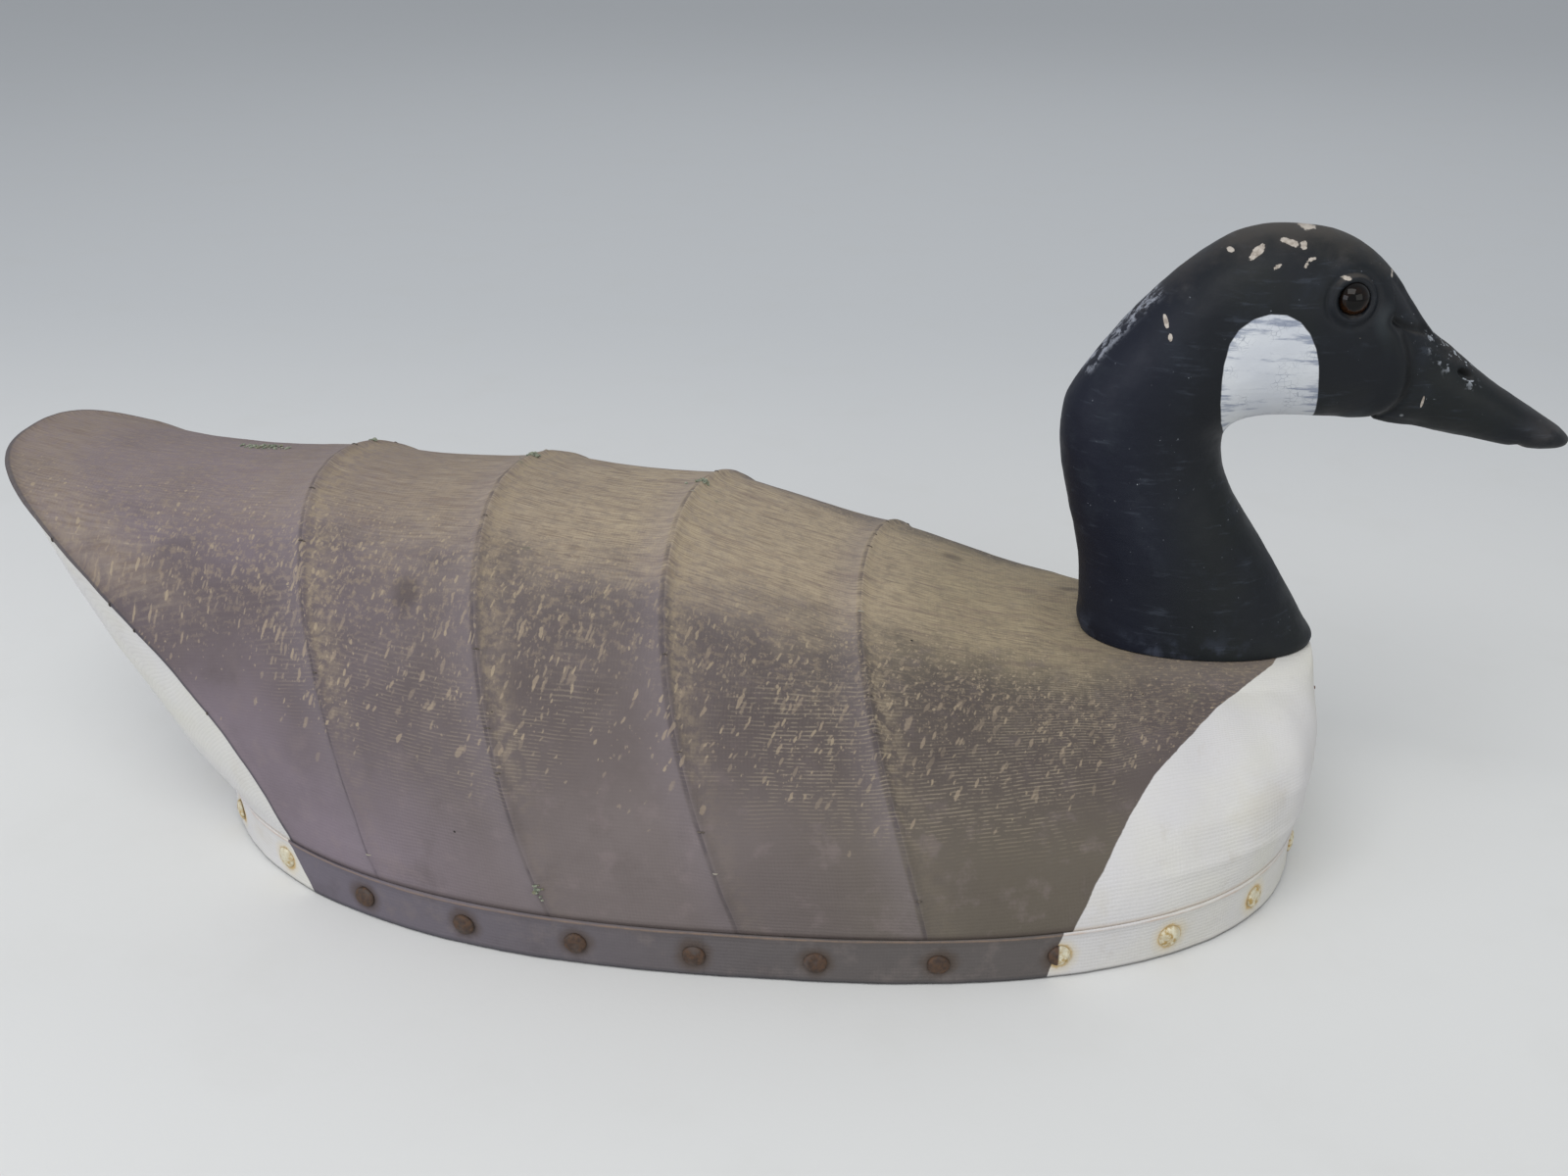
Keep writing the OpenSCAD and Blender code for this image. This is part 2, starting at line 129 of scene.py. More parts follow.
def value_noise(points, seed=0):
    points = np.asarray(points, float)
    cell = np.floor(points).astype(np.int64)
    inside = points - cell
    inside = inside * inside * (3 - 2 * inside)

    def corner_value(dx, dy, dz):
        key = ((cell[..., 0] + dx) * 374761393 + (cell[..., 1] + dy) * 668265263
               + (cell[..., 2] + dz) * 1103515245 + seed * 12345701)
        key &= 0xFFFFFFFF
        key = ((key ^ (key >> 13)) * 1274126177) & 0xFFFFFFFF
        key = key ^ (key >> 16)
        return (key & 0xFFFF) / 65535.0

    fx, fy, fz = inside[..., 0], inside[..., 1], inside[..., 2]
    total = 0
    for dx in (0, 1):
        for dy in (0, 1):
            for dz in (0, 1):
                weight = (fx if dx else 1 - fx) * (fy if dy else 1 - fy) * (fz if dz else 1 - fz)
                total = total + weight * corner_value(dx, dy, dz)
    return total * 2 - 1


def fractal_noise(points, seed):
    """Three octaves, each half as strong and half the size."""
    return sum(0.5**k * value_noise(np.asarray(points) * 2**k, seed + 17 * k) for k in range(3))


def polyline_distance(x, z, points):
    """In the side view: distance to a polyline, the side of it (+1 or -1), and how far along."""
    best = np.full(x.shape, 1e9)
    side = np.ones(x.shape)
    along = np.zeros(x.shape)
    total = sum(math.dist(a, b) for a, b in zip(points[:-1], points[1:]))
    walked = 0
    for (x0, z0), (x1, z1) in zip(points[:-1], points[1:]):
        dx, dz = x1 - x0, z1 - z0
        length = math.hypot(dx, dz)
        t = np.clip(((x - x0) * dx + (z - z0) * dz) / length**2, 0, 1)
        distance = np.hypot(x - x0 - t * dx, z - z0 - t * dz)
        closer = distance < best
        best = np.where(closer, distance, best)
        side = np.where(closer, np.sign(dx * (z - z0) - dz * (x - x0)), side)
        along = np.where(closer, (walked + t * length) / total, along)
        walked += length
    return best, side, along


def depth_inside(x, z, outline):
    """Distance to a closed outline in the side view, positive inside it."""
    best = np.full(x.shape, 1e9)
    inside = np.zeros(x.shape, bool)
    for (x0, z0), (x1, z1) in zip(outline, outline[1:] + outline[:1]):
        dx, dz = x1 - x0, z1 - z0
        t = np.clip(((x - x0) * dx + (z - z0) * dz) / (dx * dx + dz * dz), 0, 1)
        best = np.minimum(best, np.hypot(x - x0 - t * dx, z - z0 - t * dz))
        inside ^= ((z0 > z) != (z1 > z)) & (x < dx * (z - z0) / (dz + 1e-12) + x0)
    return np.where(inside, best, -best)


# ---------------------------------------------------------------- mesh helpers
def make(name, points, faces, attributes, uv=None, smooth_shade=True):
    """A mesh object from points and a UV map, both in millimetres."""
    mesh = bpy.data.meshes.new(name)
    mesh.from_pydata((np.asarray(points) * MM).tolist(), [], faces)
    shell = bmesh.new()
    shell.from_mesh(mesh)
    bmesh.ops.recalc_face_normals(shell, faces=shell.faces)
    shell.to_mesh(mesh)
    shell.free()
    mesh.update()
    for key, values in attributes.items():
        attribute = mesh.attributes.new(key, "FLOAT", "POINT")
        attribute.data.foreach_set("value", np.asarray(values, np.float32).ravel())
    if uv is not None:
        layer = mesh.uv_layers.new(name="UVMap")
        corners = np.empty(len(mesh.loops), np.int32)
        mesh.loops.foreach_get("vertex_index", corners)
        uv = np.asarray(uv * MM * MAP_PER_METRE, np.float32)
        layer.data.foreach_set("uv", uv[corners].ravel())
    if smooth_shade:
        mesh.polygons.foreach_set("use_smooth", [True] * len(mesh.polygons))
    ob = bpy.data.objects.new(name, mesh)
    bpy.context.scene.collection.objects.link(ob)
    return ob


def grid_faces(rows, cols, wrap_rows=False, wrap_cols=False):
    i, j = np.meshgrid(np.arange(rows if wrap_rows else rows - 1),
                       np.arange(cols if wrap_cols else cols - 1), indexing="ij")
    i2, j2 = (i + 1) % rows, (j + 1) % cols
    corners = [i * cols + j, i2 * cols + j, i2 * cols + j2, i * cols + j2]
    return np.stack(corners, -1).reshape(-1, 4)


def grid_normals(grid):
    normal = np.cross(np.gradient(grid, axis=0), np.gradient(grid, axis=1))
    return normal / np.maximum(np.linalg.norm(normal, axis=-1, keepdims=True), 1e-9)


def merge(parts):
    """Joins (points, faces, pick) islands; pick is one number for the whole island."""
    points, faces, picks, offset = [], [], [], 0
    for part_points, part_faces, pick in parts:
        points.append(part_points)
        faces += [[int(v) + offset for v in face] for face in part_faces]
        picks.append(np.full(len(part_points), pick, float))
        offset += len(part_points)
    return np.concatenate(points), faces, np.concatenate(picks)


# ---------------------------------------------------------------- board outline
def half_width(x):
    length = np.where(x < 0, AFT_LENGTH, FORE_LENGTH)
    power = np.where(x < 0, AFT_POWER, FORE_POWER)
    return HALF_WIDTH * powp(1 - powp(np.abs(x) / length, power), 1 / power)


def outline_point(degrees):
    angle = np.radians(degrees)
    c, s = np.cos(angle), np.sin(angle)
    length = np.where(c < 0, AFT_LENGTH, FORE_LENGTH)
    power = np.where(c < 0, AFT_POWER, FORE_POWER)
    radius = 1 / np.power(np.power(np.abs(c) / length, power)
                          + np.power(np.abs(s) / HALF_WIDTH, power), 1 / power)
    return np.stack([radius * c, radius * s], -1)


def outline_frame(degrees):
    """Point, outward normal and tangent on the outline."""
    step = outline_point(degrees + 0.3) - outline_point(degrees - 0.3)
    tangent = step / np.linalg.norm(step, axis=-1, keepdims=True)
    return outline_point(degrees), np.stack([tangent[..., 1], -tangent[..., 0]], -1), tangent


OUTLINE_DEGREES = np.arange(721) / 2 - 90
OUTLINE_RUN = run_along(outline_point(OUTLINE_DEGREES))
PERIMETER = OUTLINE_RUN[-1]


def degrees_at(run):
    return np.interp(run, OUTLINE_RUN, OUTLINE_DEGREES)


# ---------------------------------------------------------------- canvas arches
STATIONS = np.array([station for station, _ in ARCHES], float)
SHAPES = np.array([shape for _, shape in ARCHES], float)
GAPS = np.diff(STATIONS)
SLOPES = np.diff(SHAPES, axis=0) / GAPS[:, None]
TANGENTS = np.zeros_like(SHAPES)
for _i in range(LAST_WIRE + 1, len(STATIONS) - 1):
    _product = SLOPES[_i - 1] * SLOPES[_i]
    _sum = np.where(_product > 0, SLOPES[_i - 1] + SLOPES[_i], 1)
    TANGENTS[_i] = np.where(_product > 0, 2 * _product / _sum, 0)
TANGENTS[LAST_WIRE] = SLOPES[LAST_WIRE]
TANGENTS[-1] = SLOPES[-1]


def arch_shape(station):
    """Straight blend between the wires, smooth ahead of the last one."""
    i = int(np.clip(np.searchsorted(STATIONS, station, side="right") - 1, 0, len(STATIONS) - 2))
    k = (station - STATIONS[i]) / GAPS[i]
    if i < LAST_WIRE:
        return SHAPES[i] * (1 - k) + SHAPES[i + 1] * k
    leave, arrive = TANGENTS[i] * GAPS[i], TANGENTS[i + 1] * GAPS[i]
    return ((2 * k**3 - 3 * k**2 + 1) * SHAPES[i] + (k**3 - 2 * k**2 + k) * leave
            + (-2 * k**3 + 3 * k**2) * SHAPES[i + 1] + (k**3 - k**2) * arrive)


def arch(shape, turns):
    """Points of an arch; turns go from -1 at the right foot to 1 at the left one."""
    x_top, x_foot, z_top, side_power, top_power, bow, bulge = shape
    angle = np.abs(turns) * math.pi / 2
    y = half_width(x_foot) * powp(np.sin(angle), 2 / side_power) + bulge * np.sin(2 * angle)
    z = CLOTH_FOOT + (z_top - CLOTH_FOOT) * powp(np.cos(angle), 2 / top_power)
    drop = (z_top - z) / (z_top - CLOTH_FOOT)
    x = x_top + (x_foot - x_top) * drop + bow * 4 * drop * (1 - drop)
    return np.stack([x, np.sign(turns) * y, z], -1)


def even_turns(shape):
    """Turns that space the columns evenly along the arch."""
    turns = np.linspace(0, 1, 600) ** 1.4
    run = run_along(arch(shape, turns))
    return np.sign(ACROSS) * np.interp(np.abs(ACROSS), run / run[-1], turns)


def body_stations():
    rows = []
    for bay, length in enumerate(BAY_LENGTHS):
        k = np.linspace(0, 1, max(6, int(length / ROW_STEP)) + 1)[:-1]
        rows += list(bay + k - 0.105 * np.sin(2 * math.pi * k))  # closer at the wires
    rows += list(np.linspace(5, 6, max(10, int(100 / ROW_STEP))))[:-1]
    rows += list(6 + np.linspace(0, 1, max(16, int(80 / ROW_STEP))))
    return rows


def seated(points):
    """Lifts and flattens the canvas under the neck."""
    x, y, z = np.moveaxis(points, -1, 0)
    off_seat = rise(np.hypot(x - SEAT_X, y), SEAT_RADIUS, over=22)
    oval = np.hypot((x - SEAT_X) / 54, y / 33)
    lift = fall(oval, 1.5, over=0.5) * rise(z, CLOTH_TOP - 16, over=8)
    z = np.where(z <= CLOTH_TOP, z + (CLOTH_TOP - z) * lift,
                 CLOTH_TOP + (z - CLOTH_TOP) * off_seat)
    return np.stack([x, y, z], -1)


def tail_panel():
    """Rows from the board's back edge up to the tail hoop; stations -1 to 0."""
    turns = even_turns(TAIL_HOOP)
    hoop = arch(TAIL_HOOP, turns)
    foot_y = hoop[:, 1] * 0.985
    foot_x = -AFT_LENGTH * powp(1 - powp(np.abs(foot_y) / HALF_WIDTH, AFT_POWER), 1 / AFT_POWER)
    rows, stations = [], []
    for down in np.linspace(1, 0, PANEL_ROWS)[:-1]:
        hollow = 12 * 4 * down * (1 - down) * (1 - turns**2)
        rows.append(np.stack([hoop[:, 0] * (1 - down) + foot_x * down - hollow * 0.75,
                              hoop[:, 1] * (1 - down) + foot_y * down,
                              hoop[:, 2] * (1 - down) + CLOTH_FOOT * down - hollow * 0.5], -1))
        stations.append(-down)
    return rows, stations


# ---------------------------------------------------------------- canvas cover
def outward_normals(grid):
    normal = grid_normals(grid)
    if normal[PANEL_ROWS - 1 + 20, MIDDLE, 2] < 0:
        normal = -normal
    return normal


def cloth_relief(base, cloth):
    """Height of sags, wires and folds above the plain arches."""
    x, y, z = np.moveaxis(base, -1, 0)
    station, side = cloth.station, cloth.side
    seat_distance = np.hypot(x - SEAT_X, y)
    above_foot = 1 - rise(side, 0.86, over=0.14)
    # sag between the wires, and the hollow of the tail panel
    bay = station - np.floor(station)
    sag = np.where((station > 0) & (station < 5), 4 * bay * (1 - bay), 0)
    sag = sag * np.select([station < k for k in range(1, 6)], BAY_SAGS, 0)
    relief = -sag * (0.35 + 0.65 * fall(side, 0.75, over=0.6)) * above_foot
    relief += np.where(station < 0, 1.5 * 4 * station * (1 + station) * (1 - side**2), 0)
    # wires and hoop showing through
    wires = 1.5 * ridge(cloth.wire, width=2.7) + 0.6 * ridge(cloth.wire, width=7.0)
    relief += np.where(cloth.by_wire, wires, 0) * (1 - rise(side, 0.9, over=0.1))
    relief += 1.7 * ridge(cloth.hoop, width=2.6) * (1 - rise(side, 0.93, over=0.07))
    # a dip on each side between the last wire and the seat
    relief -= 3.5 * ridge(x - 170, width=11) * ridge(np.abs(y) - 86, width=22) * (z > 60)
    # a faint backbone
    relief += 0.5 * ridge(cloth.from_middle, width=5.0) * ((station > 0.02) & (station < 4.6))
    uneven = 0.55 * fractal_noise(base / 46.0, seed=3) + 0.22 * fractal_noise(base / 15.0, seed=9)
    relief += uneven * np.clip(above_foot + 0.25, 0, 1)
    # 17 drag lines that fan out from the neck
    waver = 1.4 * value_noise(base / 40.0, seed=5)
    drag = np.sin(np.arctan2(y, x - SEAT_X) * 17 + waver) * ridge(seat_distance - 84, width=26)
    relief += 0.42 * drag * (z > 40)
    # level folds above the band: two at the breast, one along the flank
    wander = 3.5 * value_noise(np.stack([x / 55, y / 55, z * 0], -1), seed=21)
    relief += 0.75 * ridge(z - 39 - wander, width=2.6) * rise(x, 165, over=40)
    upper = z - 52 - wander * 2.0 - (x - 200) * 0.1
    relief += 0.5 * ridge(upper, width=3.2) * rise(x, 185, over=30)
    flank = fall(x, 120, over=60) * rise(x, -190, over=40)
    broken = smooth(0.5 + value_noise(base / 30, seed=8))
    relief += 0.35 * ridge(z - 37 - wander, width=1.8) * flank * broken
    # calm along the foot, and flat or sunk under the neck
    relief *= 1 - fall(z, CLOTH_FOOT + 6, over=6) * 0.9
    seat = fall(seat_distance, SEAT_RADIUS + 2, over=5) * (z > 90)
    calmed = relief * (1 - seat) + np.minimum(relief, 0) * seat * 0.3
    return np.where(seat > 0, calmed, relief)


def cloth_surface():
    """The outer canvas as a grid, with what its texture and trimmings need to know."""
    rows, stations = tail_panel()
    for station in body_stations():
        shape = arch_shape(station)
        rows.append(seated(arch(shape, even_turns(shape))))
        stations.append(station)
    base = np.array(rows)
    cloth = SimpleNamespace(row_station=np.array(stations))
    cloth.station = cloth.row_station[:, None] * np.ones((1, COLUMNS))
    cloth.side = np.abs(ACROSS)[None] * np.ones((len(base), 1))

    row_steps = np.linalg.norm(np.diff(base, axis=0), axis=-1)
    cloth.row_run = np.concatenate([[0], np.cumsum(row_steps.mean(1))])
    column_steps = np.linalg.norm(np.diff(base, axis=1), axis=-1)
    run = np.concatenate([np.zeros((len(base), 1)), np.cumsum(column_steps, axis=1)], axis=1)
    cloth.from_middle = run - run[:, MIDDLE][:, None]

    # distance to the tail hoop and to the nearest wire, positive ahead of it
    run = np.concatenate([np.zeros((1, COLUMNS)), np.cumsum(row_steps, axis=0)])
    cloth.wire = np.full(base.shape[:2], 60.0)
    for k in range(LAST_WIRE + 1):
        distance = run - run[int(np.argmin(np.abs(cloth.row_station - k)))][None]
        cloth.wire = np.where(np.abs(distance) < np.abs(cloth.wire), distance, cloth.wire)
        if k == 0:
            cloth.hoop = distance
    nearest = np.round(cloth.station)
    cloth.by_wire = (nearest >= 1) & (nearest <= LAST_WIRE)

    grid = base + outward_normals(base) * cloth_relief(base, cloth)[..., None]
    grid[..., 2] = np.maximum(grid[..., 2], CLOTH_FOOT)
    on_seat = np.hypot(base[..., 0] - SEAT_X, base[..., 1]) < SEAT_RADIUS + 1
    grid[..., 2] = np.where(on_seat & (grid[..., 2] > CLOTH_TOP), CLOTH_TOP, grid[..., 2])
    cloth.grid = grid
    cloth.normal = outward_normals(grid)
    return cloth


def cloth_shell(cloth):
    """Two layers 1 mm apart, closed round the edges, with a round hole under the neck."""
    grid = cloth.grid
    rows, cols = grid.shape[:2]
    lining = grid - cloth.normal
    lining[..., 2] = np.maximum(lining[..., 2], CLOTH_FOOT)
    points = np.concatenate([grid.reshape(-1, 3), lining.reshape(-1, 3)])
    layer = rows * cols
    quads = grid_faces(rows, cols)

    near_hole = np.hypot(grid[..., 0] - SEAT_X, grid[..., 1]) < CLOTH_HOLE_RADIUS
    cut = (near_hole & (grid[..., 2] > 90)).ravel()[quads].any(1)
    edges = {}
    for quad in quads[cut].tolist():
        for a, b in zip(quad, quad[1:] + quad[:1]):
            edges.setdefault((min(a, b), max(a, b)), []).append((a, b))
    rim = [uses[0] for uses in edges.values() if len(uses) == 1]
    rim_ids = np.unique(rim)
    rim_ids = np.concatenate([rim_ids, rim_ids + layer])
    centre = np.array([SEAT_X, 0.0])
    offset = points[rim_ids, :2] - centre
    radius = np.hypot(offset[:, 0], offset[:, 1])[:, None]
    points[rim_ids, :2] = centre + offset * CLOTH_HOLE_RADIUS / radius

    kept = quads[~cut]
    faces = np.concatenate([kept, kept[:, ::-1] + layer]).tolist()
    faces += [[a, b, b + layer, a + layer] for a, b in rim]

    def vid(i, j, inner):
        return inner * layer + i * cols + j

    last = cols - 1
    for i in range(rows - 1):
        faces.append([vid(i, 0, 0), vid(i, 0, 1), vid(i + 1, 0, 1), vid(i + 1, 0, 0)])
        faces.append([vid(i, last, 0), vid(i + 1, last, 0), vid(i + 1, last, 1), vid(i, last, 1)])
    for j in range(last):
        faces.append([vid(0, j, 0), vid(0, j + 1, 0), vid(0, j + 1, 1), vid(0, j, 1)])
    # the foremost row is filled from its right half to its left half
    end = rows - 1
    for j in range(last // 2):
        far = last - j
        across = [far, far - 1] if j < last // 2 - 1 else [far]
        faces.append([vid(end, k, 0) for k in [j] + across + [j + 1]])
        faces.append([vid(end, k, 1) for k in [j, j + 1] + across[::-1]])
    faces.append([vid(end, 0, 0), vid(end, 0, 1), vid(end, last, 1), vid(end, last, 0)])
    return points, faces


# Edge of the white breast: |y| - z, and the x where the white begins
BREAST_KEY = [-98, -64, -44, -29, 4, 23, 46, 70, 92, 112, 123]
BREAST_X = [263, 246, 231, 219, 199.5, 188.5, 179, 171, 164, 157.5, 154]


def build_canvas(cloth):
    x, y, z = np.moveaxis(cloth.grid, -1, 0)
    breast = x - np.interp(np.abs(y) - z, BREAST_KEY, BREAST_X)
    tail = np.where(cloth.station < 0, np.abs(cloth.hoop), -np.abs(cloth.hoop))
    # the map follows x along the body, and is measured up from the foot on the sides
    u = np.where(cloth.station >= 0, x + z * 0.12, cloth.row_run[:, None] * 0.9)
    run = cloth.from_middle
    half_run = np.where(run < 0, -run[:, :1], run[:, -1:])
    blend = rise(cloth.side, 0.12, over=0.5)
    v = run * (1 - blend) + np.sign(run) * (190 + np.abs(run) - half_run) * blend
    # the weathering along the top reaches further down the left side
    left = rise(ACROSS[None], 0, over=0.15) * (1 - rise(cloth.side, 0.4, over=0.5))
    wire = cloth.wire
    values = {
        "white": np.maximum(breast * 0.8, tail - 1.2),
        "rib_fore": np.where(cloth.by_wire & (wire >= 0), wire, 60),
        "rib_aft": np.where(cloth.by_wire & (wire <= 0), -wire, 60),
        "height": z, "arc": cloth.side - 0.2 * left, "hoopd": cloth.hoop,
        "station": cloth.station}
    points, faces = cloth_shell(cloth)
    both_layers = {name: np.tile(value.ravel(), 2) for name, value in values.items()}
    uv = np.tile(np.stack([u, v], -1).reshape(-1, 2), (2, 1))
    return make("canvas_skin", points, faces, both_layers, uv)


cloth = cloth_surface()
canvas = build_canvas(cloth)
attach(canvas, "frame")
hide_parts("canvas_cover")

# ---------------------------------------------------------------- edge band
TACK_COUNT = 27
TACK_RUNS = ((np.arange(TACK_COUNT) + 0.91) * PERIMETER / TACK_COUNT) % PERIMETER
TACK_Z = BOARD_TOP * 0.47
BAND_POINTS = 1100
HEM_Z = 22.1
# Band section: offset outwards from the board's outline, z
BAND_SECTION = np.array(
    [(-1.8, 0.1), (-0.5, 0.0), (-0.05, 0.25), (0.1, 1.2)]
    + [(0.12, z) for z in np.linspace(2.5, 18.6, 12)]
    + [(0.14, 19.2), (0.24, 19.7), (0.34, 20.3), (0.42, 21.0), (0.62, 21.7), (0.78, HEM_Z),
       (0.66, 22.6), (0.2, 22.95), (-0.9, 23.0), (-1.8, 22.9)])


def build_band():
    run = np.linspace(0, PERIMETER, BAND_POINTS, endpoint=False)
    foot, outward, _ = outline_frame(degrees_at(run))
    offset = BAND_SECTION[None, :, 0] * np.ones((BAND_POINTS, 1))
    z = BAND_SECTION[None, :, 1] * np.ones((BAND_POINTS, 1))
    tack_distance = np.full(z.shape, 99.0)
    for tack_run in TACK_RUNS:
        away = np.abs(run[:, None] - tack_run)
        away = np.minimum(away, PERIMETER - away)
        tack_distance = np.minimum(tack_distance, np.hypot(away, z - TACK_Z))

    # uneven cloth, pinched round the tacks, under a wandering hem
    flat = np.stack([foot[:, None, 0] + 0 * z, foot[:, None, 1] + 0 * z, z], -1)
    wobble = 0.28 * fractal_noise(flat / np.array([26.0, 26.0, 16.0]), seed=31)
    wobble = wobble + 0.1 * fractal_noise(flat / 7.0, seed=33)
    pinch = -0.35 * ridge(tack_distance - 5.5, width=3.2)
    swell = np.clip(wobble + 0.15, -0.05, 0.6) + pinch
    push = offset + np.where(offset > -0.3, swell, 0)
    hem_points = np.stack([foot[:, 0] / 60, foot[:, 1] / 60, foot[:, 0] * 0], -1)
    hem_shift = 0.55 * value_noise(hem_points, seed=41)[:, None]
    height = z + np.where((z > 19) & (z < 22.8), hem_shift, 0)
    x = foot[:, None, 0] + outward[:, None, 0] * push
    y = foot[:, None, 1] + outward[:, None, 1] * push

    white_front = x - (150.5 - (22 - height) * 0.25)
    white_back = (-199.5 + (22 - height) * 0.55) - x
    uv = np.stack([run[:, None] + 0 * z, z + offset * 0.5], -1).reshape(-1, 2)
    return make("edge_band_skin", np.stack([x, y, height], -1).reshape(-1, 3),
                grid_faces(*z.shape, wrap_rows=True, wrap_cols=True).tolist(),
                {"white": np.maximum(white_front, white_back), "rust": tack_distance,
                 "height": height, "hem": ridge(z - HEM_Z, width=0.45)}, uv)


band = build_band()
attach(band, "frame")
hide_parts("edge_band")

# ---------------------------------------------------------------- tacks
rng = np.random.default_rng(7)


def dome(radius, height, seed, segments=28, rings=7):
    """A slightly battered tack head: pole, rings, then a flat base."""
    points = [[0, 0, height]]
    for k in range(1, rings + 1):
        polar = k / rings * math.pi / 2
        for j in range(segments):
            a = 2 * math.pi * j / segments
            points.append([radius * math.sin(polar) * math.cos(a),
                           radius * math.sin(polar) * math.sin(a),
                           height * math.cos(polar) ** 0.8])
    points = np.array(points)
    dents = value_noise(points / 2.2 + seed * 5.1, seed)
    points[:, 2] += 0.16 * dents * (points[:, 2] > 0.3)
    points[:, :2] *= (1 + 0.035 * value_noise(points / 3.0 + seed, seed + 3))[:, None]
    base = len(points)
    rim = 1 + (rings - 1) * segments
    base_centre = np.array([0, 0, -0.45])
    base_ring = points[rim:rim + segments] * np.array([1, 1, 0]) + base_centre
    points = np.concatenate([points, base_ring, [base_centre]])
    pairs = [(j, (j + 1) % segments) for j in range(segments)]
    faces = [[0, 1 + j, 1 + k] for j, k in pairs]
    for start in range(1, rim, segments):
        faces += [[start + j, start + segments + j, start + segments + k, start + k]
                  for j, k in pairs]
    for j, k in pairs:
        faces.append([rim + j, base + j, base + k, rim + k])
        faces.append([base + segments, base + k, base + j])
    return points, faces


def build_tacks():
    parts = []
    up = np.array([0, 0, 1.0])
    for seed, degrees in enumerate(degrees_at(TACK_RUNS)):
        foot, outward, tangent = outline_frame(degrees)
        points, faces = dome(radius=5.1 * (1 + rng.uniform(-0.05, 0.05)),
                             height=1.6 * (1 + rng.uniform(-0.18, 0.12)), seed=seed)
        tilt = rng.uniform(-0.06, 0.06, 2)
        axis = unit(np.append(outward, 0.0) + tilt[0] * np.append(tangent, 0.0) + tilt[1] * up)
        across = unit(np.cross(up, axis))
        upward = np.cross(axis, across)
        centre = np.array([foot[0], foot[1], TACK_Z + rng.uniform(-0.8, 0.8)]) + axis * 0.35
        points = centre + points[:, :1] * across + points[:, 1:2] * upward + points[:, 2:3] * axis
        parts.append((points, faces, rng.uniform()))
    points, faces, picks = merge(parts)
    white = np.maximum(points[:, 0] - 149.5, -194.5 - points[:, 0])
    return make("tack_heads", points, faces, {"pick": picks, "white": white})


tacks = build_tacks()
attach(tacks, "frame")
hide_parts("edge_tacks")

# ---------------------------------------------------------------- head
# Rings from the foot of the neck to the bill tip:
# back or top edge x, z; front or lower edge x, z; half width; superellipse power
HEAD_RINGS = np.array([
    [160.5, 96.2, 268.3, 96.2, 33, 2.1], [158.6, 102, 268.6, 99.5, 33, 2.1],
    [158.6, 112, 264, 106, 32.4, 2.1], [156.5, 134, 255.5, 119.5, 31.2, 2.1],
    [149.8, 160, 238.4, 146, 29.4, 2.1], [145, 183.4, 224.8, 165.8, 28, 2.1],
    [143.8, 196.4, 218.7, 178, 27.2, 2.1], [145, 210, 216.1, 187, 26.8, 2.1],
    [150.5, 221.4, 215.4, 193.6, 26.8, 2.1], [160, 235.8, 216, 198, 27.2, 2.1],
    [171.4, 250.5, 218.6, 202.2, 28, 2.15], [183.2, 263.3, 223.2, 205, 28.8, 2.2],
    [195.4, 274.7, 230.4, 206.8, 29.3, 2.2], [208.5, 284, 240.2, 207.3, 29.4, 2.2],
    [222.4, 289.1, 250, 207.3, 29, 2.2], [238, 290.3, 260.4, 207.2, 28, 2.2],
    [253.6, 287.9, 270, 207.6, 26.4, 2.2], [267.6, 281, 278, 207.6, 24.4, 2.15],
    [279.8, 269.8, 286.3, 206, 22.2, 2.1], [288.8, 258.2, 293.9, 204.3, 20.2, 2.05],
    [296, 249, 300, 203, 18.6, 2], [301.8, 243.4, 306, 201.7, 17.3, 2],
    [309.4, 238.2, 312.8, 200.2, 16.1, 2], [319.1, 231, 321.1, 198.7, 15, 2],
    [328.9, 224.3, 329.6, 197.2, 14.4, 2.05], [340, 216.9, 338.6, 195.9, 14, 2.1],
    [351, 209.9, 348.6, 195.4, 13.2, 2.2], [358.6, 205.2, 357, 195.6, 11, 2.1],
    [362.6, 202.2, 361.6, 196.4, 7.4, 2], [364.4, 200.4, 364, 198, 3, 2]])
RING_POINTS = 224
RING_COUNT = 460

# Lines in the side view, as x, z: between face and bill, and along the bill's upper edge
GROOVE = [(277.0, 255.5), (281.2, 250.0), (284.0, 243.5), (286.2, 236.5), (287.3, 229.0),
          (286.4, 221.0), (283.0, 213.5), (277.5, 208.0), (271.0, 205.0)]
BILL_EDGE = [(304.0, 244.2), (298.0, 247.6), (291.5, 250.6), (284.5, 252.6), (278.0, 255.4)]
NAPE = [(150.5, 221.0), (160.0, 235.6), (171.4, 250.3), (183.2, 263.2)]
CHEEK = [(217.0, 195.0), (214.4, 200.0), (211.4, 207.0), (208.9, 218.0), (207.9, 228.0),
         (207.8, 237.0), (209.0, 245.5), (212.2, 251.8), (218.0, 256.6), (224.5, 258.8),
         (231.0, 258.6), (237.0, 255.8), (241.6, 250.8), (244.8, 244.4), (247.2, 237.0),
         (248.8, 228.0), (250.4, 217.0), (252.2, 207.0), (253.6, 195.0)]
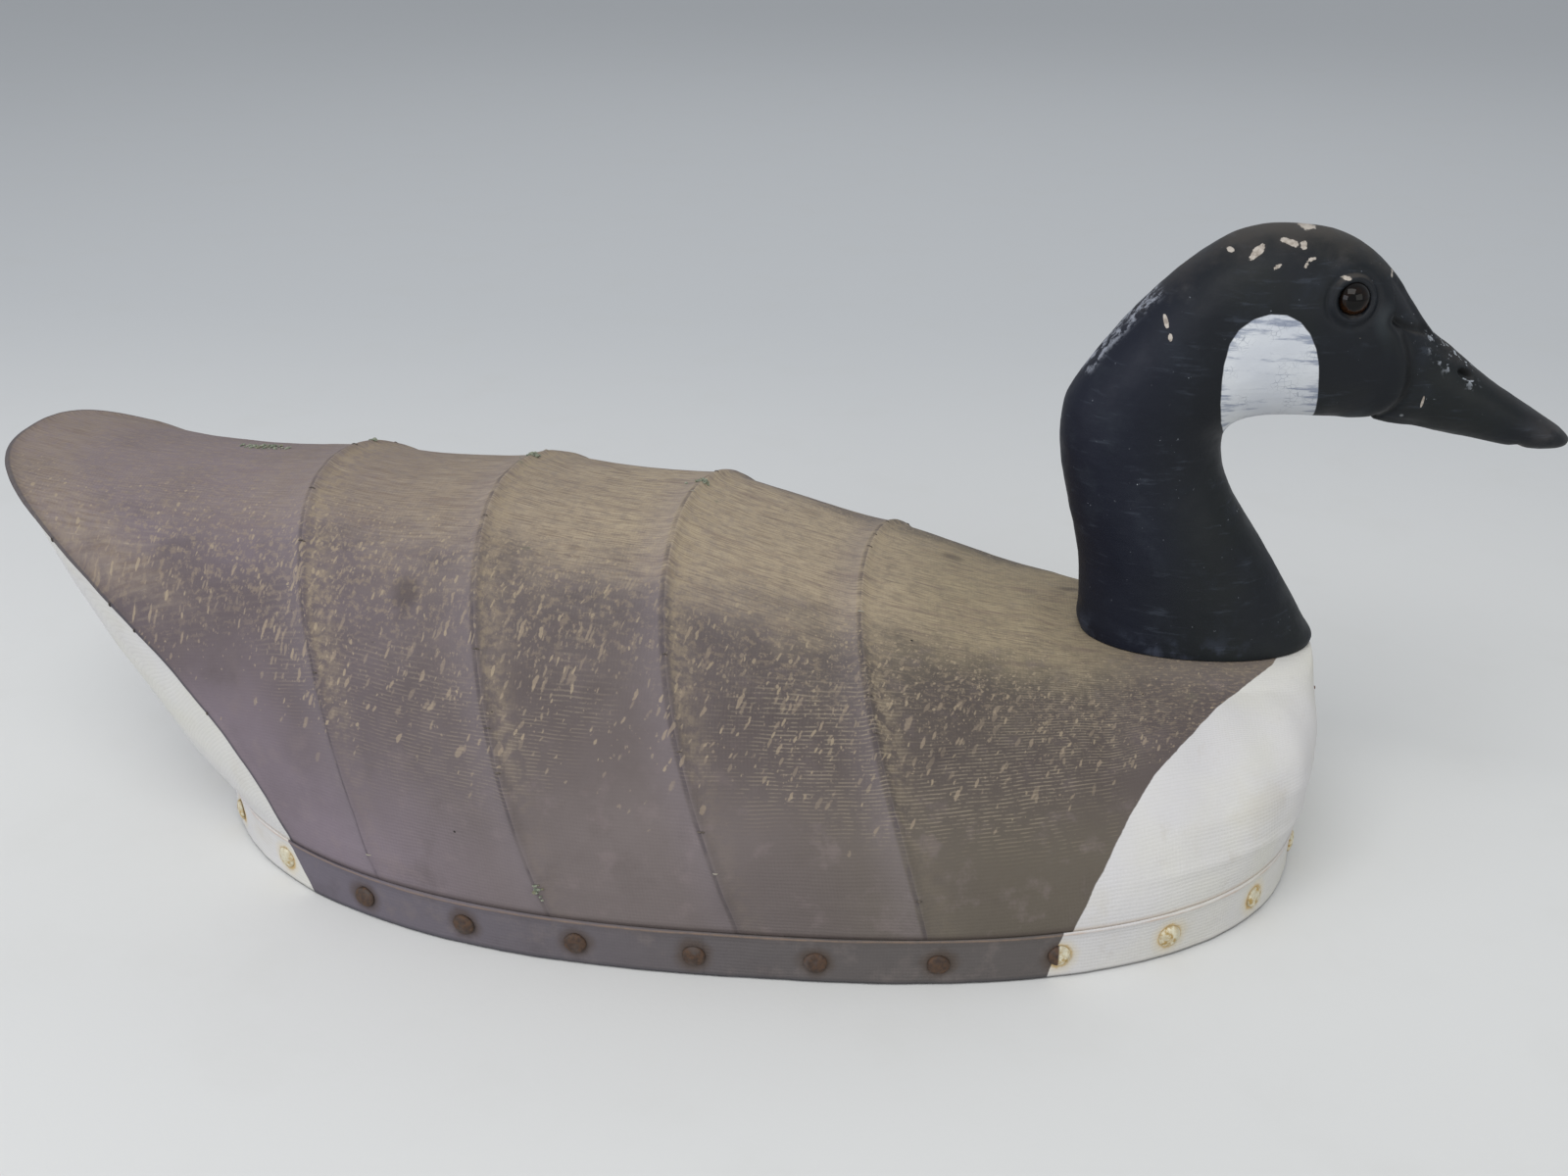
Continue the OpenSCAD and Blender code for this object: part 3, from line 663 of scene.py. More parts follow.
# Chips down to bare wood: x, z, half length, half width, angle in degrees
CHIPS = [(217.9, 282.0, 4.4, 1.5, 40), (231.2, 285.8, 4.2, 1.2, -12), (236.6, 285.0, 1.7, 1.5, 60),
         (210.2, 287.5, 2.2, 1.1, 10), (207.5, 281.5, 1.5, 0.9, 0), (225.7, 277.2, 2.2, 0.8, 30),
         (240.0, 280.2, 2.4, 0.7, 20), (237.4, 278.0, 1.6, 0.8, 50), (254.3, 273.4, 2.6, 0.8, -6),
         (276.0, 272.5, 1.5, 0.7, 40), (262.5, 249.0, 1.2, 0.5, -30), (240.0, 291.0, 5.0, 1.6, 0),
         (183.0, 252.0, 1.0, 2.8, 15), (185.0, 246.0, 0.9, 1.8, 10), (295.5, 219.0, 0.6, 3.2, 0)]
NICK_X = 341.5  # a nick under the bill


def ring_at(s):
    """A Catmull-Rom blend of the table's rows."""
    last = len(HEAD_RINGS) - 1
    i = min(int(s), last - 1)
    k = s - i
    a, b, c, d = HEAD_RINGS[[max(i - 1, 0), i, i + 1, min(i + 2, last)]]
    return 0.5 * (2 * b + (c - a) * k + (2 * a - 5 * b + 4 * c - d) * k * k
                  + (3 * b - a - 3 * c + d) * k**3)


def nostril_distance(x, z):
    """Grows 2.3 times as fast across the slanting nostril."""
    dx, dz = x - 313.0, z - 230.4
    return np.hypot(dx * 0.86 - dz * 0.5, (dz * 0.86 + dx * 0.5) * 2.3)


def head_rings(angles):
    cos, sin = np.cos(angles), np.sin(angles)
    rings = []
    for s in np.linspace(0, len(HEAD_RINGS) - 1, RING_COUNT):
        back_x, back_z, front_x, front_z, half_wide, power = ring_at(s)
        along = np.sign(cos) * np.abs(cos) ** (2 / power)
        across = np.sign(sin) * np.abs(sin) ** (2 / power)
        rings.append(np.stack([(back_x + front_x) / 2 + (back_x - front_x) / 2 * along,
                               half_wide * across,
                               (back_z + front_z) / 2 + (back_z - front_z) / 2 * along], -1))
    return np.array(rings)


def carve(rings, angles):
    """Cuts the grooves, nostrils and eye sockets; also returns the distance to a crease."""
    x, y, z = np.moveaxis(rings, -1, 0)
    side = np.abs(y)
    groove, groove_side, _ = polyline_distance(x, z, GROOVE)
    edge, _, edge_along = polyline_distance(x, z, BILL_EDGE)
    eye = np.hypot(x - EYE_X, z - EYE_Z)

    relief = -1.5 * ridge(groove, width=1.9) * rise(side, 3, over=5)
    relief -= 1.5 * ridge(edge, width=1.3) * rise(side, 4, over=4) * rise(edge_along, 0, over=0.12)
    # the bill is set in and the face stands out along the groove
    bill = -1.7 * rise(groove, 0, over=2.2) * (1 - rise(groove, 5, over=26))
    face = 1.1 * ridge(groove - 4.5, width=4.0)
    relief += np.where((groove_side > 0) & (x > 276), bill, face) * rise(side, 4, over=6)
    # chin step
    relief += 1.3 * fall(z, 214, over=6) * rise(x, 278, over=2.0) * (1 - rise(x, 286, over=12))
    relief -= 3.4 * np.exp(-(nostril_distance(x, z) / 3.5) ** 4) * (side > 4)
    # eyelid and the furrow round it
    relief += 1.1 * ridge(eye - 8.4, width=1.3) - 0.9 * ridge(eye - 10.9, width=1.3)
    relief += 0.38 * fractal_noise(rings / 30.0, seed=51)
    relief += 0.12 * fractal_noise(rings / np.array([9.0, 9.0, 6.0]), seed=57)
    relief -= 1.1 * ridge(np.hypot(x - NICK_X, z - 196.0), width=2.4)
    relief *= rise(z, SEAT_Z, over=5)

    closed = np.concatenate([rings[:, -1:], rings, rings[:, :1]], axis=1)
    normal = grid_normals(closed)[:, 1:-1]
    if normal[RING_COUNT // 2, np.argmin(np.abs(angles - math.pi / 2)), 1] < 0:
        normal = -normal
    carved = rings + normal * relief[..., None]
    # flat eye sockets
    flat = fall(eye, 6.5, over=0.9)
    carved[..., 1] = np.where(flat > 0, carved[..., 1] * (1 - flat) + np.sign(y) * 19.4 * flat,
                              carved[..., 1])
    carved[..., 2] = np.maximum(carved[..., 2], SEAT_Z)
    return carved, np.minimum(groove, edge + 20 * (edge_along < 0.02))


def close_head(carved, angles):
    """Adds the bill tip, the flat foot and the dowel bore."""
    count = carved[..., 0].size
    last_ring = count - RING_POINTS
    tip = carved[-1].mean(0) + np.array([0.5, 0, -0.1])
    # angle 0 is at the back of the foot, so the bore starts there too
    bore = np.stack([SEAT_X - BORE_RADIUS * np.cos(angles), BORE_RADIUS * np.sin(angles)], -1)
    rings = [((carved[0, :, :2] + bore) / 2, SEAT_Z), (bore, SEAT_Z), (bore, BORE_TOP)]
    points = np.concatenate(
        [carved.reshape(-1, 3), [tip]]
        + [np.c_[ring, np.full(RING_POINTS, z)] for ring, z in rings] + [[[SEAT_X, 0, BORE_TOP]]])
    quads = grid_faces(*carved.shape[:2], wrap_cols=True)
    faces = quads[:, [0, 3, 2, 1]].tolist()
    pairs = [(j, (j + 1) % RING_POINTS) for j in range(RING_POINTS)]
    faces += [[last_ring + j, last_ring + k, count] for j, k in pairs]
    middle, mouth, top, centre = (count + 1 + n * RING_POINTS for n in range(4))
    for j, k in pairs:
        faces.append([j, middle + j, middle + k, k])
        faces.append([middle + j, mouth + j, mouth + k, middle + k])
        faces.append([mouth + j, top + j, top + k, mouth + k])
        faces.append([top + j, centre, top + k])
    return points, faces


def chip_depth(x, y, z):
    depth = np.full(len(x), -99.0)
    for chip_x, chip_z, length, width, angle in CHIPS:
        c, s = math.cos(math.radians(angle)), math.sin(math.radians(angle))
        dx, dz = x - chip_x, z - chip_z
        reach = np.hypot((dx * c + dz * s) / length, (-dx * s + dz * c) / width)
        depth = np.maximum(depth, (1 - reach) * width)
    depth = np.where(y < 6, depth, -99)  # none on the left side
    return np.maximum(depth, 2.0 - np.hypot((x - NICK_X) / 2.2, z - 195.6))


def build_head():
    angles = np.linspace(0, 2 * math.pi, RING_POINTS, endpoint=False)
    carved, ring_crease = carve(head_rings(angles), angles)
    points, faces = close_head(carved, angles)
    x, y, z = points.T
    crease = np.full(len(points), 99.0)
    crease[:ring_crease.size] = ring_crease.ravel()
    nape, _, along = polyline_distance(x, z, NAPE)
    rub = (ridge(nape - 0.2, width=1.0) * fall(np.abs(y), 14, over=6)
           * rise(along, 0, over=0.15) * fall(along, 1, over=0.1))
    nostril = np.where(np.abs(y) > 4, nostril_distance(x, z), 99.0)
    return make("head_carving", points, faces,
                {"cheek": depth_inside(x, z, CHEEK), "chip": chip_depth(x, y, z), "rub": rub,
                 "nostril": nostril, "crease": crease})


head = build_head()
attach(head, "turn_head")
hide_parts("head")


# ---------------------------------------------------------------- stitches and lichen
def cloth_spot(station, across):
    """Row, column, point, normal and forward direction at a place on the canvas."""
    i = int(np.argmin(np.abs(cloth.row_station - station)))
    j = int(np.argmin(np.abs(ACROSS - across)))
    ahead = cloth.grid[min(i + 2, len(cloth.grid) - 1), j] - cloth.grid[max(i - 2, 0), j]
    return i, j, cloth.grid[i, j], cloth.normal[i, j], unit(ahead)


def thread(centre, normal, along, length, radius, rings=7, sides=8):
    """A short thread lying across a wire."""
    across = np.cross(normal, along)
    points, faces = [], []
    for k in range(rings):
        u = k / (rings - 1) * 2 - 1
        thickness = radius * math.sqrt(max(1 - u**4, 0.02))
        middle = centre + along * u * length / 2 + normal * (radius * 0.5 - 0.5 * u * u)
        for q in range(sides):
            a = 2 * math.pi * q / sides
            points.append(middle + thickness * (math.cos(a) * across + math.sin(a) * normal))
    faces = grid_faces(rings, sides, wrap_cols=True).tolist()
    faces.append(list(range(sides)))
    faces.append([(rings - 1) * sides + q for q in range(sides)][::-1])
    return np.array(points), faces


def build_stitches():
    parts = []
    for station in range(LAST_WIRE + 1):
        for across in np.linspace(-0.9, 0.9, 13):
            across = across + rng.uniform(-0.05, 0.05)
            if abs(across) < 0.12 or rng.uniform() < 0.15:
                continue
            _, _, centre, normal, along = cloth_spot(station, across)
            points, faces = thread(centre, normal, along, length=rng.uniform(2.2, 3.6),
                                   radius=rng.uniform(0.26, 0.36))
            parts.append((points, faces, rng.uniform()))
    points, faces, picks = merge(parts)
    return make("rib_stitches", points, faces, {"pick": picks})


# Lichen patches: station, place across, (spread along, spread across), number of crumbs
LICHEN = [(0.72, 0.1, (12.0, 4.0), 110), (2.0, 0.2, (4.5, 3.5), 40), (3.0, 0.22, (6.0, 4.0), 40),
          (2.0, -0.93, (2.0, 5.0), 14), (1.0, 0.2, (2.5, 3.0), 8)]


def build_lichen():
    ball = bmesh.new()
    bmesh.ops.create_icosphere(ball, subdivisions=1, radius=1.0)
    ball_points = np.array([v.co[:] for v in ball.verts])
    ball_faces = [[v.index for v in face.verts] for face in ball.faces]
    ball.free()
    parts = []
    for station, place, spread, count in LICHEN:
        i, j, centre, normal, along = cloth_spot(station, place)
        across = np.cross(normal, along)
        patch = cloth.grid[max(i - 14, 0):i + 15, max(j - 14, 0):j + 15].reshape(-1, 3)
        for _ in range(count):
            offset = rng.normal(0, 0.45, 2) * np.array(spread)
            target = centre + along * offset[0] + across * offset[1]
            spot = patch[np.argmin(((patch - target) ** 2).sum(1))]
            size = rng.uniform(0.3, 1.1) ** 1.2
            lumps = 1 + 0.45 * rng.uniform(-1, 1, (len(ball_points), 1))
            crumb = ball_points * lumps * size * np.array([1.2, 1.0, 0.7])
            parts.append((spot + normal * size * 0.35 + crumb, ball_faces, rng.uniform()))
    points, faces, picks = merge(parts)
    return make("lichen", points, faces, {"pick": picks}, smooth_shade=False)


stitches = build_stitches()
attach(stitches, "frame")
lichen = build_lichen()
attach(lichen, "frame")


# ---------------------------------------------------------------- shader helpers
def srgb(*channels):
    """Linear colour from sRGB channels of 0 to 255."""
    parts = [v / 255 for v in channels]
    return tuple(v / 12.92 if v <= 0.04045 else ((v + 0.055) / 1.055) ** 2.4
                 for v in parts) + (1.0,)


class Shader:
    """A material whose node graph reads as nested calls."""

    def __init__(self, name, roughness):
        self.material = bpy.data.materials.new(name)
        self.material.use_nodes = True
        self.tree = self.material.node_tree
        self.tree.nodes.clear()
        output = self.node("OutputMaterial")
        self.surface = self.node("BsdfPrincipled", {"Roughness": roughness})
        self.tree.links.new(self.surface.outputs[0], output.inputs[0])

    def put(self, socket, value):
        if isinstance(value, bpy.types.NodeSocket):
            self.tree.links.new(value, socket)
        else:
            socket.default_value = value

    def node(self, kind, inputs=None, **settings):
        node = self.tree.nodes.new("ShaderNode" + kind)
        for key, value in settings.items():
            setattr(node, key, value)
        for key, value in (inputs or {}).items():
            self.put(node.inputs[key], value)
        return node

    def attribute(self, name):
        return self.node("Attribute", attribute_name=name).outputs["Fac"]

    def position(self):
        return self.node("TexCoord").outputs["Object"]

    def split(self, vector):
        return self.node("SeparateXYZ", {0: vector}).outputs

    def stretch(self, vector, scale):
        return self.node("Mapping", {"Vector": vector, "Scale": scale}).outputs[0]

    def noise(self, vector, scale, detail=4.0, roughness=0.55, distortion=0.0, output=0):
        """A scale of three numbers stretches the noise."""
        if isinstance(scale, tuple):
            vector, scale = self.stretch(vector, scale), 1.0
        return self.node("TexNoise", {
            "Vector": vector, "Scale": scale, "Detail": detail, "Roughness": roughness,
            "Distortion": distortion}).outputs[output]

    def stir(self, vector, position, scale, amount):
        """Shifts a vector by coloured noise."""
        shift = self.noise(position, scale, detail=2.0, roughness=0.5, output=1)
        shift = self.node("VectorMath", {0: shift, 3: amount}, operation="SCALE").outputs[0]
        return self.node("VectorMath", {0: vector, 1: shift}, operation="ADD").outputs[0]

    def cells(self, vector, scale, feature="F1"):
        inputs = {"Vector": self.stretch(vector, scale), "Scale": 1.0}
        return self.node("TexVoronoi", inputs, feature=feature).outputs

    def wave(self, vector, axis, scale, distortion, detail, detail_scale):
        return self.node("TexWave", {
            "Vector": vector, "Scale": scale, "Distortion": distortion, "Detail": detail,
            "Detail Scale": detail_scale}, bands_direction=axis).outputs[1]

    def math(self, operation, a, b=0.0):
        return self.node("Math", {0: a, 1: b, 2: 0.0}, operation=operation).outputs[0]

    def add(self, a, b):
        return self.math("ADD", a, b)

    def sub(self, a, b):
        return self.math("SUBTRACT", a, b)

    def mul(self, first, *others):
        for other in others:
            first = self.math("MULTIPLY", first, other)
        return first

    def above(self, value, limit):
        return self.math("GREATER_THAN", value, limit)

    def centred(self, noise, amount):
        return self.mul(self.sub(noise, 0.5), amount)

    def jitter(self, value, noise, amount):
        return self.add(value, self.centred(noise, amount))

    def ramp(self, value, over, to=(0.0, 1.0)):
        """Smooth change between the two values of to, while value crosses over."""
        return self.node("MapRange", {0: value, 1: over[0], 2: over[1], 3: to[0], 4: to[1]},
                         interpolation_type="SMOOTHSTEP").outputs[0]

    def mix(self, factor, a, b):
        return self.node("Mix", {0: factor, 6: a, 7: b}, data_type="RGBA").outputs[2]

    def spots(self, vector, scale, edge, channel, rarity, to=(1, 0), ragged=None):
        """Round spots in the cells whose random colour channel is above rarity."""
        cells = self.cells(vector, scale)
        distance = cells["Distance"]
        if ragged:
            distance = self.jitter(distance, *ragged)
        chosen = self.above(self.split(cells["Color"])[channel], rarity)
        return self.mul(self.ramp(distance, edge, to), chosen)

    def bump(self, height, strength, distance, normal=None):
        inputs = {"Strength": strength, "Distance": distance, "Height": height}
        if normal is not None:
            inputs["Normal"] = normal
        return self.node("Bump", inputs).outputs[0]

    def finish(self, colour, roughness, normal, **extra):
        """Extra inputs are named with underscores for spaces."""
        inputs = {"Base Color": colour, "Roughness": roughness, "Normal": normal}
        inputs.update({key.replace("_", " "): value for key, value in extra.items()})
        for key, value in inputs.items():
            self.put(self.surface.inputs[key], value)
        return self.material


def use(ob, material):
    ob.data.materials.clear()
    ob.data.materials.append(material)


# ---------------------------------------------------------------- painted canvas
BROWN_DARK = srgb(84, 76, 73)


class ClothShader(Shader):
    """The textures that the cover and the band share."""

    def __init__(self, name):
        super().__init__(name, roughness=0.82)
        self.uv = self.node("UVMap", uv_map="UVMap").outputs[0]
        self.pos = self.position()
        self.big = self.noise(self.pos, scale=9.0)
        self.mid = self.noise(self.pos, scale=28.0, detail=5, roughness=0.6)
        self.small = self.noise(self.pos, scale=80.0, detail=5, roughness=0.62)
        self.fine = self.noise(self.pos, scale=230.0, roughness=0.6)
        self.tiny = self.noise(self.pos, scale=800.0, detail=3, roughness=0.6)
        # a little waviness keeps the threads from being ruled lines
        self.wavy = self.stir(self.uv, self.pos, scale=26.0, amount=0.035)
        thread_wave = {"distortion": 0.35, "detail": 1.0, "detail_scale": 5.0}
        self.warp = self.wave(self.wavy, "Y", scale=18.0, **thread_wave)
        self.weft = self.wave(self.wavy, "X", scale=22.0, **thread_wave)


def top_weathering(s, col, station, arc, worn):
    """Tan mottling, dust and bleached fibres along the top."""
    mottle = s.ramp(s.noise(s.wavy, (26, 48, 1), roughness=0.7), over=(0.50, 0.62))
    mottle = s.mul(mottle, s.ramp(worn, over=(0.36, 0.6), to=(0.42, 0.0)))
    col = s.mix(mottle, col, srgb(152, 136, 115))
    dust = s.ramp(worn, over=(0.10, 0.38), to=(1, 0))
    dust = s.mul(dust, s.ramp(station, over=(0.7, 1.1), to=(0.42, 1.0)))
    by_hoop = s.ramp(s.math("ABSOLUTE", s.attribute("hoopd")), over=(18.0, 62.0), to=(0.8, 0))
    by_hoop = s.mul(by_hoop, s.ramp(worn, over=(0.34, 0.5), to=(1, 0)))
    dust = s.math("MAXIMUM", dust, by_hoop)
    dust = s.mul(dust, s.ramp(station, over=(4.9, 5.4), to=(1.0, 0.35)))
    fibre = s.noise(s.wavy, (6.5, 105, 1), detail=5, roughness=0.68)
    pale = s.mix(s.ramp(station, over=(0.8, 3.2)), srgb(140, 127, 115), srgb(174, 158, 134))
    pale = s.mix(s.ramp(station, over=(3.9, 4.5)), pale, srgb(160, 146, 120))
    pale = s.mix(s.ramp(fibre, over=(0.36, 0.54), to=(0.75, 0)), pale, srgb(118, 103, 90))
    pale = s.mix(s.ramp(fibre, over=(0.6, 0.7), to=(0, 0.45)), pale, srgb(196, 184, 166))
    bands = s.noise(s.wavy, (2.2, 14, 1), roughness=0.65)
    pale = s.mix(s.ramp(bands, over=(0.5, 0.7), to=(0, 0.6)), pale, srgb(124, 108, 98))
    return s.mix(s.mul(dust, s.ramp(s.fine, over=(0.3, 0.6), to=(0.6, 0.95))), col, pale)


def wire_light_and_shade(s, col, arc):
    """Painted shadow behind the wires, painted cool light behind that, and a painted highlight
    ahead of them.
    """
    aft, fore = s.attribute("rib_aft"), s.attribute("rib_fore")
    # painted shadow: a thin dark line just behind each wire
    shade = s.mul(s.ramp(aft, over=(0.9, 2.7), to=(1, 0)),
                  s.ramp(s.small, over=(0.35, 0.62), to=(0.12, 0.55)))
    col = s.mix(shade, col, srgb(70, 64, 70))
    # painted cool light: a faint lilac band further behind each wire
    aft_cool_light = s.mul(s.ramp(aft, over=(3.0, 22.0), to=(1, 0)), s.ramp(aft, over=(1.5, 3.0)))
    col = s.mix(s.mul(aft_cool_light, 0.24), col, srgb(130, 121, 127))
    # painted highlight: a tan band just ahead of each wire, mostly on the upper sides
    front_highlight = s.mul(s.ramp(fore, over=(0.8, 3.2)), s.ramp(fore, over=(3.2, 18.0), to=(1, 0)),
                 s.ramp(arc, over=(0.5, 0.78), to=(1, 0.15)))
    front_highlight = s.mul(front_highlight, s.ramp(s.fine, over=(0.38, 0.62), to=(0.04, 0.4)))
    return s.mix(front_highlight, col, srgb(166, 150, 124))


# Flecks on the sides: cell scale, slant, first and last place from the top down,
# strength, random part of the size, colour
FLECK_DARK, FLECK_PALE = srgb(158, 142, 122), srgb(168, 152, 128)
FLECKS = [((40, 12.5, 1), 0.42, 0.26, 0.8, 0.62, 0.30, FLECK_DARK),
          ((54, 19, 1), 0.34, 0.22, 0.74, 0.62, 0.30, FLECK_PALE),
          ((27, 8.5, 1), 0.46, 0.34, 0.8, 0.5, 0.25, FLECK_DARK),
          ((52, 44, 1), 0.2, 0.06, 0.56, 0.6, 0.34, FLECK_PALE),
          ((88, 70, 1), 0.1, 0.06, 0.7, 0.45, 0.38, FLECK_DARK)]


def side_flecks(s, col, station, worn):
    """Short slanting flecks down the sides, rounder ones nearer the top."""
    cluster = s.ramp(s.big, over=(0.36, 0.56), to=(0.45, 1.0))
    stirred = s.stir(s.uv, s.pos, scale=120.0, amount=0.03)
    for scale, slant, first, last, strength, size_range, colour in FLECKS:
        turned = s.node("Mapping", {"Vector": stirred, "Rotation": (0, 0, slant)}).outputs[0]
        cells = s.cells(turned, scale)
        chance, size, opacity = s.split(cells["Color"])
        density = s.mul(s.ramp(worn, over=(first, first + 0.12)),
                        s.ramp(worn, over=(last - 0.24, last), to=(1, 0.0)),
                        cluster,
                        s.ramp(station, over=(0.25, 1.2), to=(0.4, 1.0)),
                        s.ramp(station, over=(4.7, 5.3), to=(1.0, 0.3)))
        chosen = s.above(s.add(chance, s.mul(density, 0.52)), 1.0)
        size = s.add(s.mul(size, size_range), 0.10)
        ragged = s.jitter(cells["Distance"], s.tiny, 0.25)
        spot = s.ramp(s.sub(size, ragged), over=(-0.04, 0.07))
        opacity = s.mul(s.add(s.mul(opacity, 0.5), 0.5), strength)
        col = s.mix(s.mul(chosen, spot, opacity), col, colour)
    return col


def cover_brown(s):
    station, arc = s.attribute("station"), s.attribute("arc")
    # ground colour from tail to neck, then broad and small patches
    col = s.mix(s.ramp(station, over=(0.6, 2.3)), srgb(122, 111, 118), srgb(112, 103, 101))
    col = s.mix(s.ramp(station, over=(3.1, 4.5)), col, srgb(101, 94, 82))
    col = s.mix(s.ramp(station, over=(4.95, 5.5)), col, srgb(103, 95, 92))
    col = s.mix(s.ramp(s.big, over=(0.4, 0.62), to=(0, 0.35)), col, BROWN_DARK)
    col = s.mix(s.ramp(s.mid, over=(0.52, 0.74), to=(0, 0.42)), col, BROWN_DARK)
    col = s.mix(s.ramp(s.small, over=(0.52, 0.7), to=(0, 0.3)), col, srgb(132, 119, 118))
    # darker halfway down the sides
    shade = s.mul(s.ramp(arc, over=(0.22, 0.42)), s.ramp(arc, over=(0.60, 0.82), to=(1, 0)),
                  s.ramp(s.big, over=(0.3, 0.6), to=(0.35, 0.6)))
    col = s.mix(shade, col, srgb(84, 75, 74))
    worn = s.add(arc, s.add(s.centred(s.mid, 0.36), s.centred(s.small, 0.18)))
    col = top_weathering(s, col, station, arc, worn)
    col = wire_light_and_shade(s, col, arc)
    col = side_flecks(s, col, station, worn)
    # lighter threads where the paint is thin
    patches = s.ramp(s.noise(s.pos, scale=11.0, detail=3, roughness=0.5), over=(0.47, 0.6))
    sides = s.mul(s.ramp(arc, over=(0.1, 0.3)), s.ramp(arc, over=(0.7, 0.86), to=(1, 0)))
    patches = s.mul(patches, sides, s.ramp(station, over=(0.5, 4.2), to=(0.35, 1.0)))
    thin = s.mul(s.ramp(s.warp, over=(0.55, 0.95)), s.ramp(s.fine, over=(0.38, 0.6)))
    col = s.mix(s.mul(thin, patches, 0.45), col, srgb(162, 150, 130))
    # dark specks, soft stains and crumbs of dirt
    specks = s.spots(s.uv, (4.6, 4.6, 1), edge=(0.018, 0.034), channel=1, rarity=0.62)
    col = s.mix(specks, col, srgb(40, 36, 34))
    stains = s.spots(s.wavy, (1.7, 1.9, 1), edge=(0.05, 0.15), channel=0, rarity=0.6,
                     to=(0.5, 0), ragged=(s.small, 0.16))
    col = s.mix(stains, col, srgb(66, 58, 58))
    crumbs = s.noise(s.wavy, (30, 60, 1), roughness=0.75)
    crumbs = s.mul(s.ramp(crumbs, over=(0.66, 0.72), to=(0, 0.5)),
                   s.ramp(worn, over=(0.6, 0.9), to=(1, 0.2)))
    col = s.mix(crumbs, col, srgb(74, 66, 62))
    # painted shade: darker along the foot of the canvas, just above the band
    low = s.ramp(s.attribute("height"), over=(23.5, 27.0), to=(1, 0))
    col = s.mix(s.mul(low, 0.55), col, srgb(72, 62, 58))
    green = s.noise(s.pos, scale=60.0, detail=5, roughness=0.7)
    green = s.mul(s.ramp(green, over=(0.64, 0.76)),
                  s.ramp(arc, over=(0.2, 0.5), to=(0.45, 0.05)))
    return s.mix(green, col, srgb(98, 104, 84))


def band_brown(s):
    back_to_front = s.ramp(s.split(s.pos)[0], over=(-0.22, 0.1))
    col = s.mix(back_to_front, srgb(104, 98, 106), srgb(92, 87, 85))
    col = s.mix(s.ramp(s.mid, over=(0.5, 0.75), to=(0, 0.5)), col, srgb(76, 70, 70))
    col = s.mix(s.ramp(s.small, over=(0.52, 0.7), to=(0, 0.3)), col, srgb(122, 112, 108))
    # a lighter line along the hem, partly its worn edge and partly a painted highlight along the
    # fold
    hem = s.mul(s.attribute("hem"), s.ramp(s.fine, over=(0.3, 0.6), to=(0.35, 0.8)))
    col = s.mix(hem, col, srgb(140, 118, 100))
    # painted contact shadow along the bottom edge of the band
    low = s.ramp(s.attribute("height"), over=(0.3, 3.0), to=(1, 0))
    col = s.mix(s.mul(low, 0.6), col, srgb(58, 60, 64))
    rust = s.jitter(s.attribute("rust"), s.small, 8.0)
    rust = s.ramp(rust, over=(4.5, 10.5), to=(1, 0))
    return s.mix(s.mul(rust, 0.6), col, srgb(76, 62, 50))


def white_paint(s):
    white = s.mix(s.ramp(s.big, over=(0.35, 0.65)), srgb(205, 203, 192), srgb(201, 199, 199))
    white = s.mix(s.ramp(s.mid, over=(0.52, 0.76), to=(0, 0.45)), white, srgb(190, 184, 170))
    white = s.mix(s.ramp(s.small, over=(0.6, 0.74), to=(0, 0.25)), white, srgb(180, 172, 160))
    gaps = s.mul(s.ramp(s.warp, over=(0.3, 0.0)), 0.16)
    return s.mix(gaps, white, srgb(176, 174, 168))


def band_white(s, white):
    """Rust rings round the tacks, a worn hem and a grey lower edge of painted contact shadow."""
    rust = s.jitter(s.attribute("rust"), s.fine, 3.0)
    white = s.mix(s.ramp(rust, over=(5.2, 7.0), to=(0.9, 0)), white, srgb(176, 140, 72))
    white = s.mix(s.ramp(rust, over=(6.0, 11.0), to=(0.35, 0)), white, srgb(206, 190, 150))
    hem = s.mul(s.attribute("hem"), s.ramp(s.small, over=(0.4, 0.6), to=(0.2, 0.7)))
    white = s.mix(hem, white, srgb(186, 158, 136))
    # painted contact shadow along the bottom edge
    low = s.ramp(s.attribute("height"), over=(0.2, 1.8), to=(1, 0))
    return s.mix(s.mul(low, 0.7), white, srgb(96, 96, 96))


def cover_white(s, white):
    low = s.ramp(s.attribute("height"), over=(23.0, 25.5), to=(1, 0))
    white = s.mix(s.mul(low, 0.5), white, srgb(192, 172, 150))
    specks = s.spots(s.uv, (6.5, 6.5, 1), edge=(0.02, 0.035), channel=1, rarity=0.7)
    return s.mix(s.mul(specks, 0.8), white, srgb(90, 84, 80))


def cloth_material(name, is_band):
    s = ClothShader(name)
    patches = s.noise(s.pos, scale=13.0, detail=3, roughness=0.5)
    patches = s.ramp(patches, over=(0.44, 0.62))
    col = band_brown(s) if is_band else cover_brown(s)
    # the white has a brushed, slightly uneven edge
    edge_noise = s.noise(s.pos, scale=90.0, detail=3, roughness=0.6)
    edge = s.jitter(s.attribute("white"), edge_noise, 1.6)
    white_mask = s.ramp(edge, over=(-0.25, 0.25))
    white = white_paint(s)
    if is_band:
        white = band_white(s, white)
    else:
        white = cover_white(s, white)
        rim = s.ramp(s.math("ABSOLUTE", s.attribute("hoopd")), over=(0.5, 1.7), to=(1, 0))
        col = s.mix(s.mul(rim, 0.7), col, srgb(66, 66, 72))
    col = s.mix(white_mask, col, white)
    weave = s.add(s.mul(s.warp, 0.6), s.mul(s.weft, 0.35))
    weave = s.mul(weave, s.add(s.mul(patches, 0.6), 0.5))
    normal = s.bump(weave, strength=0.5, distance=0.00028)
    grit = s.add(s.fine, s.mul(s.tiny, 0.5))
    normal = s.bump(grit, strength=0.25, distance=0.0006, normal=normal)
    return s.finish(col, s.ramp(s.fine, over=(0.3, 0.7), to=(0.74, 0.92)), normal,
                    Specular_IOR_Level=0.22)


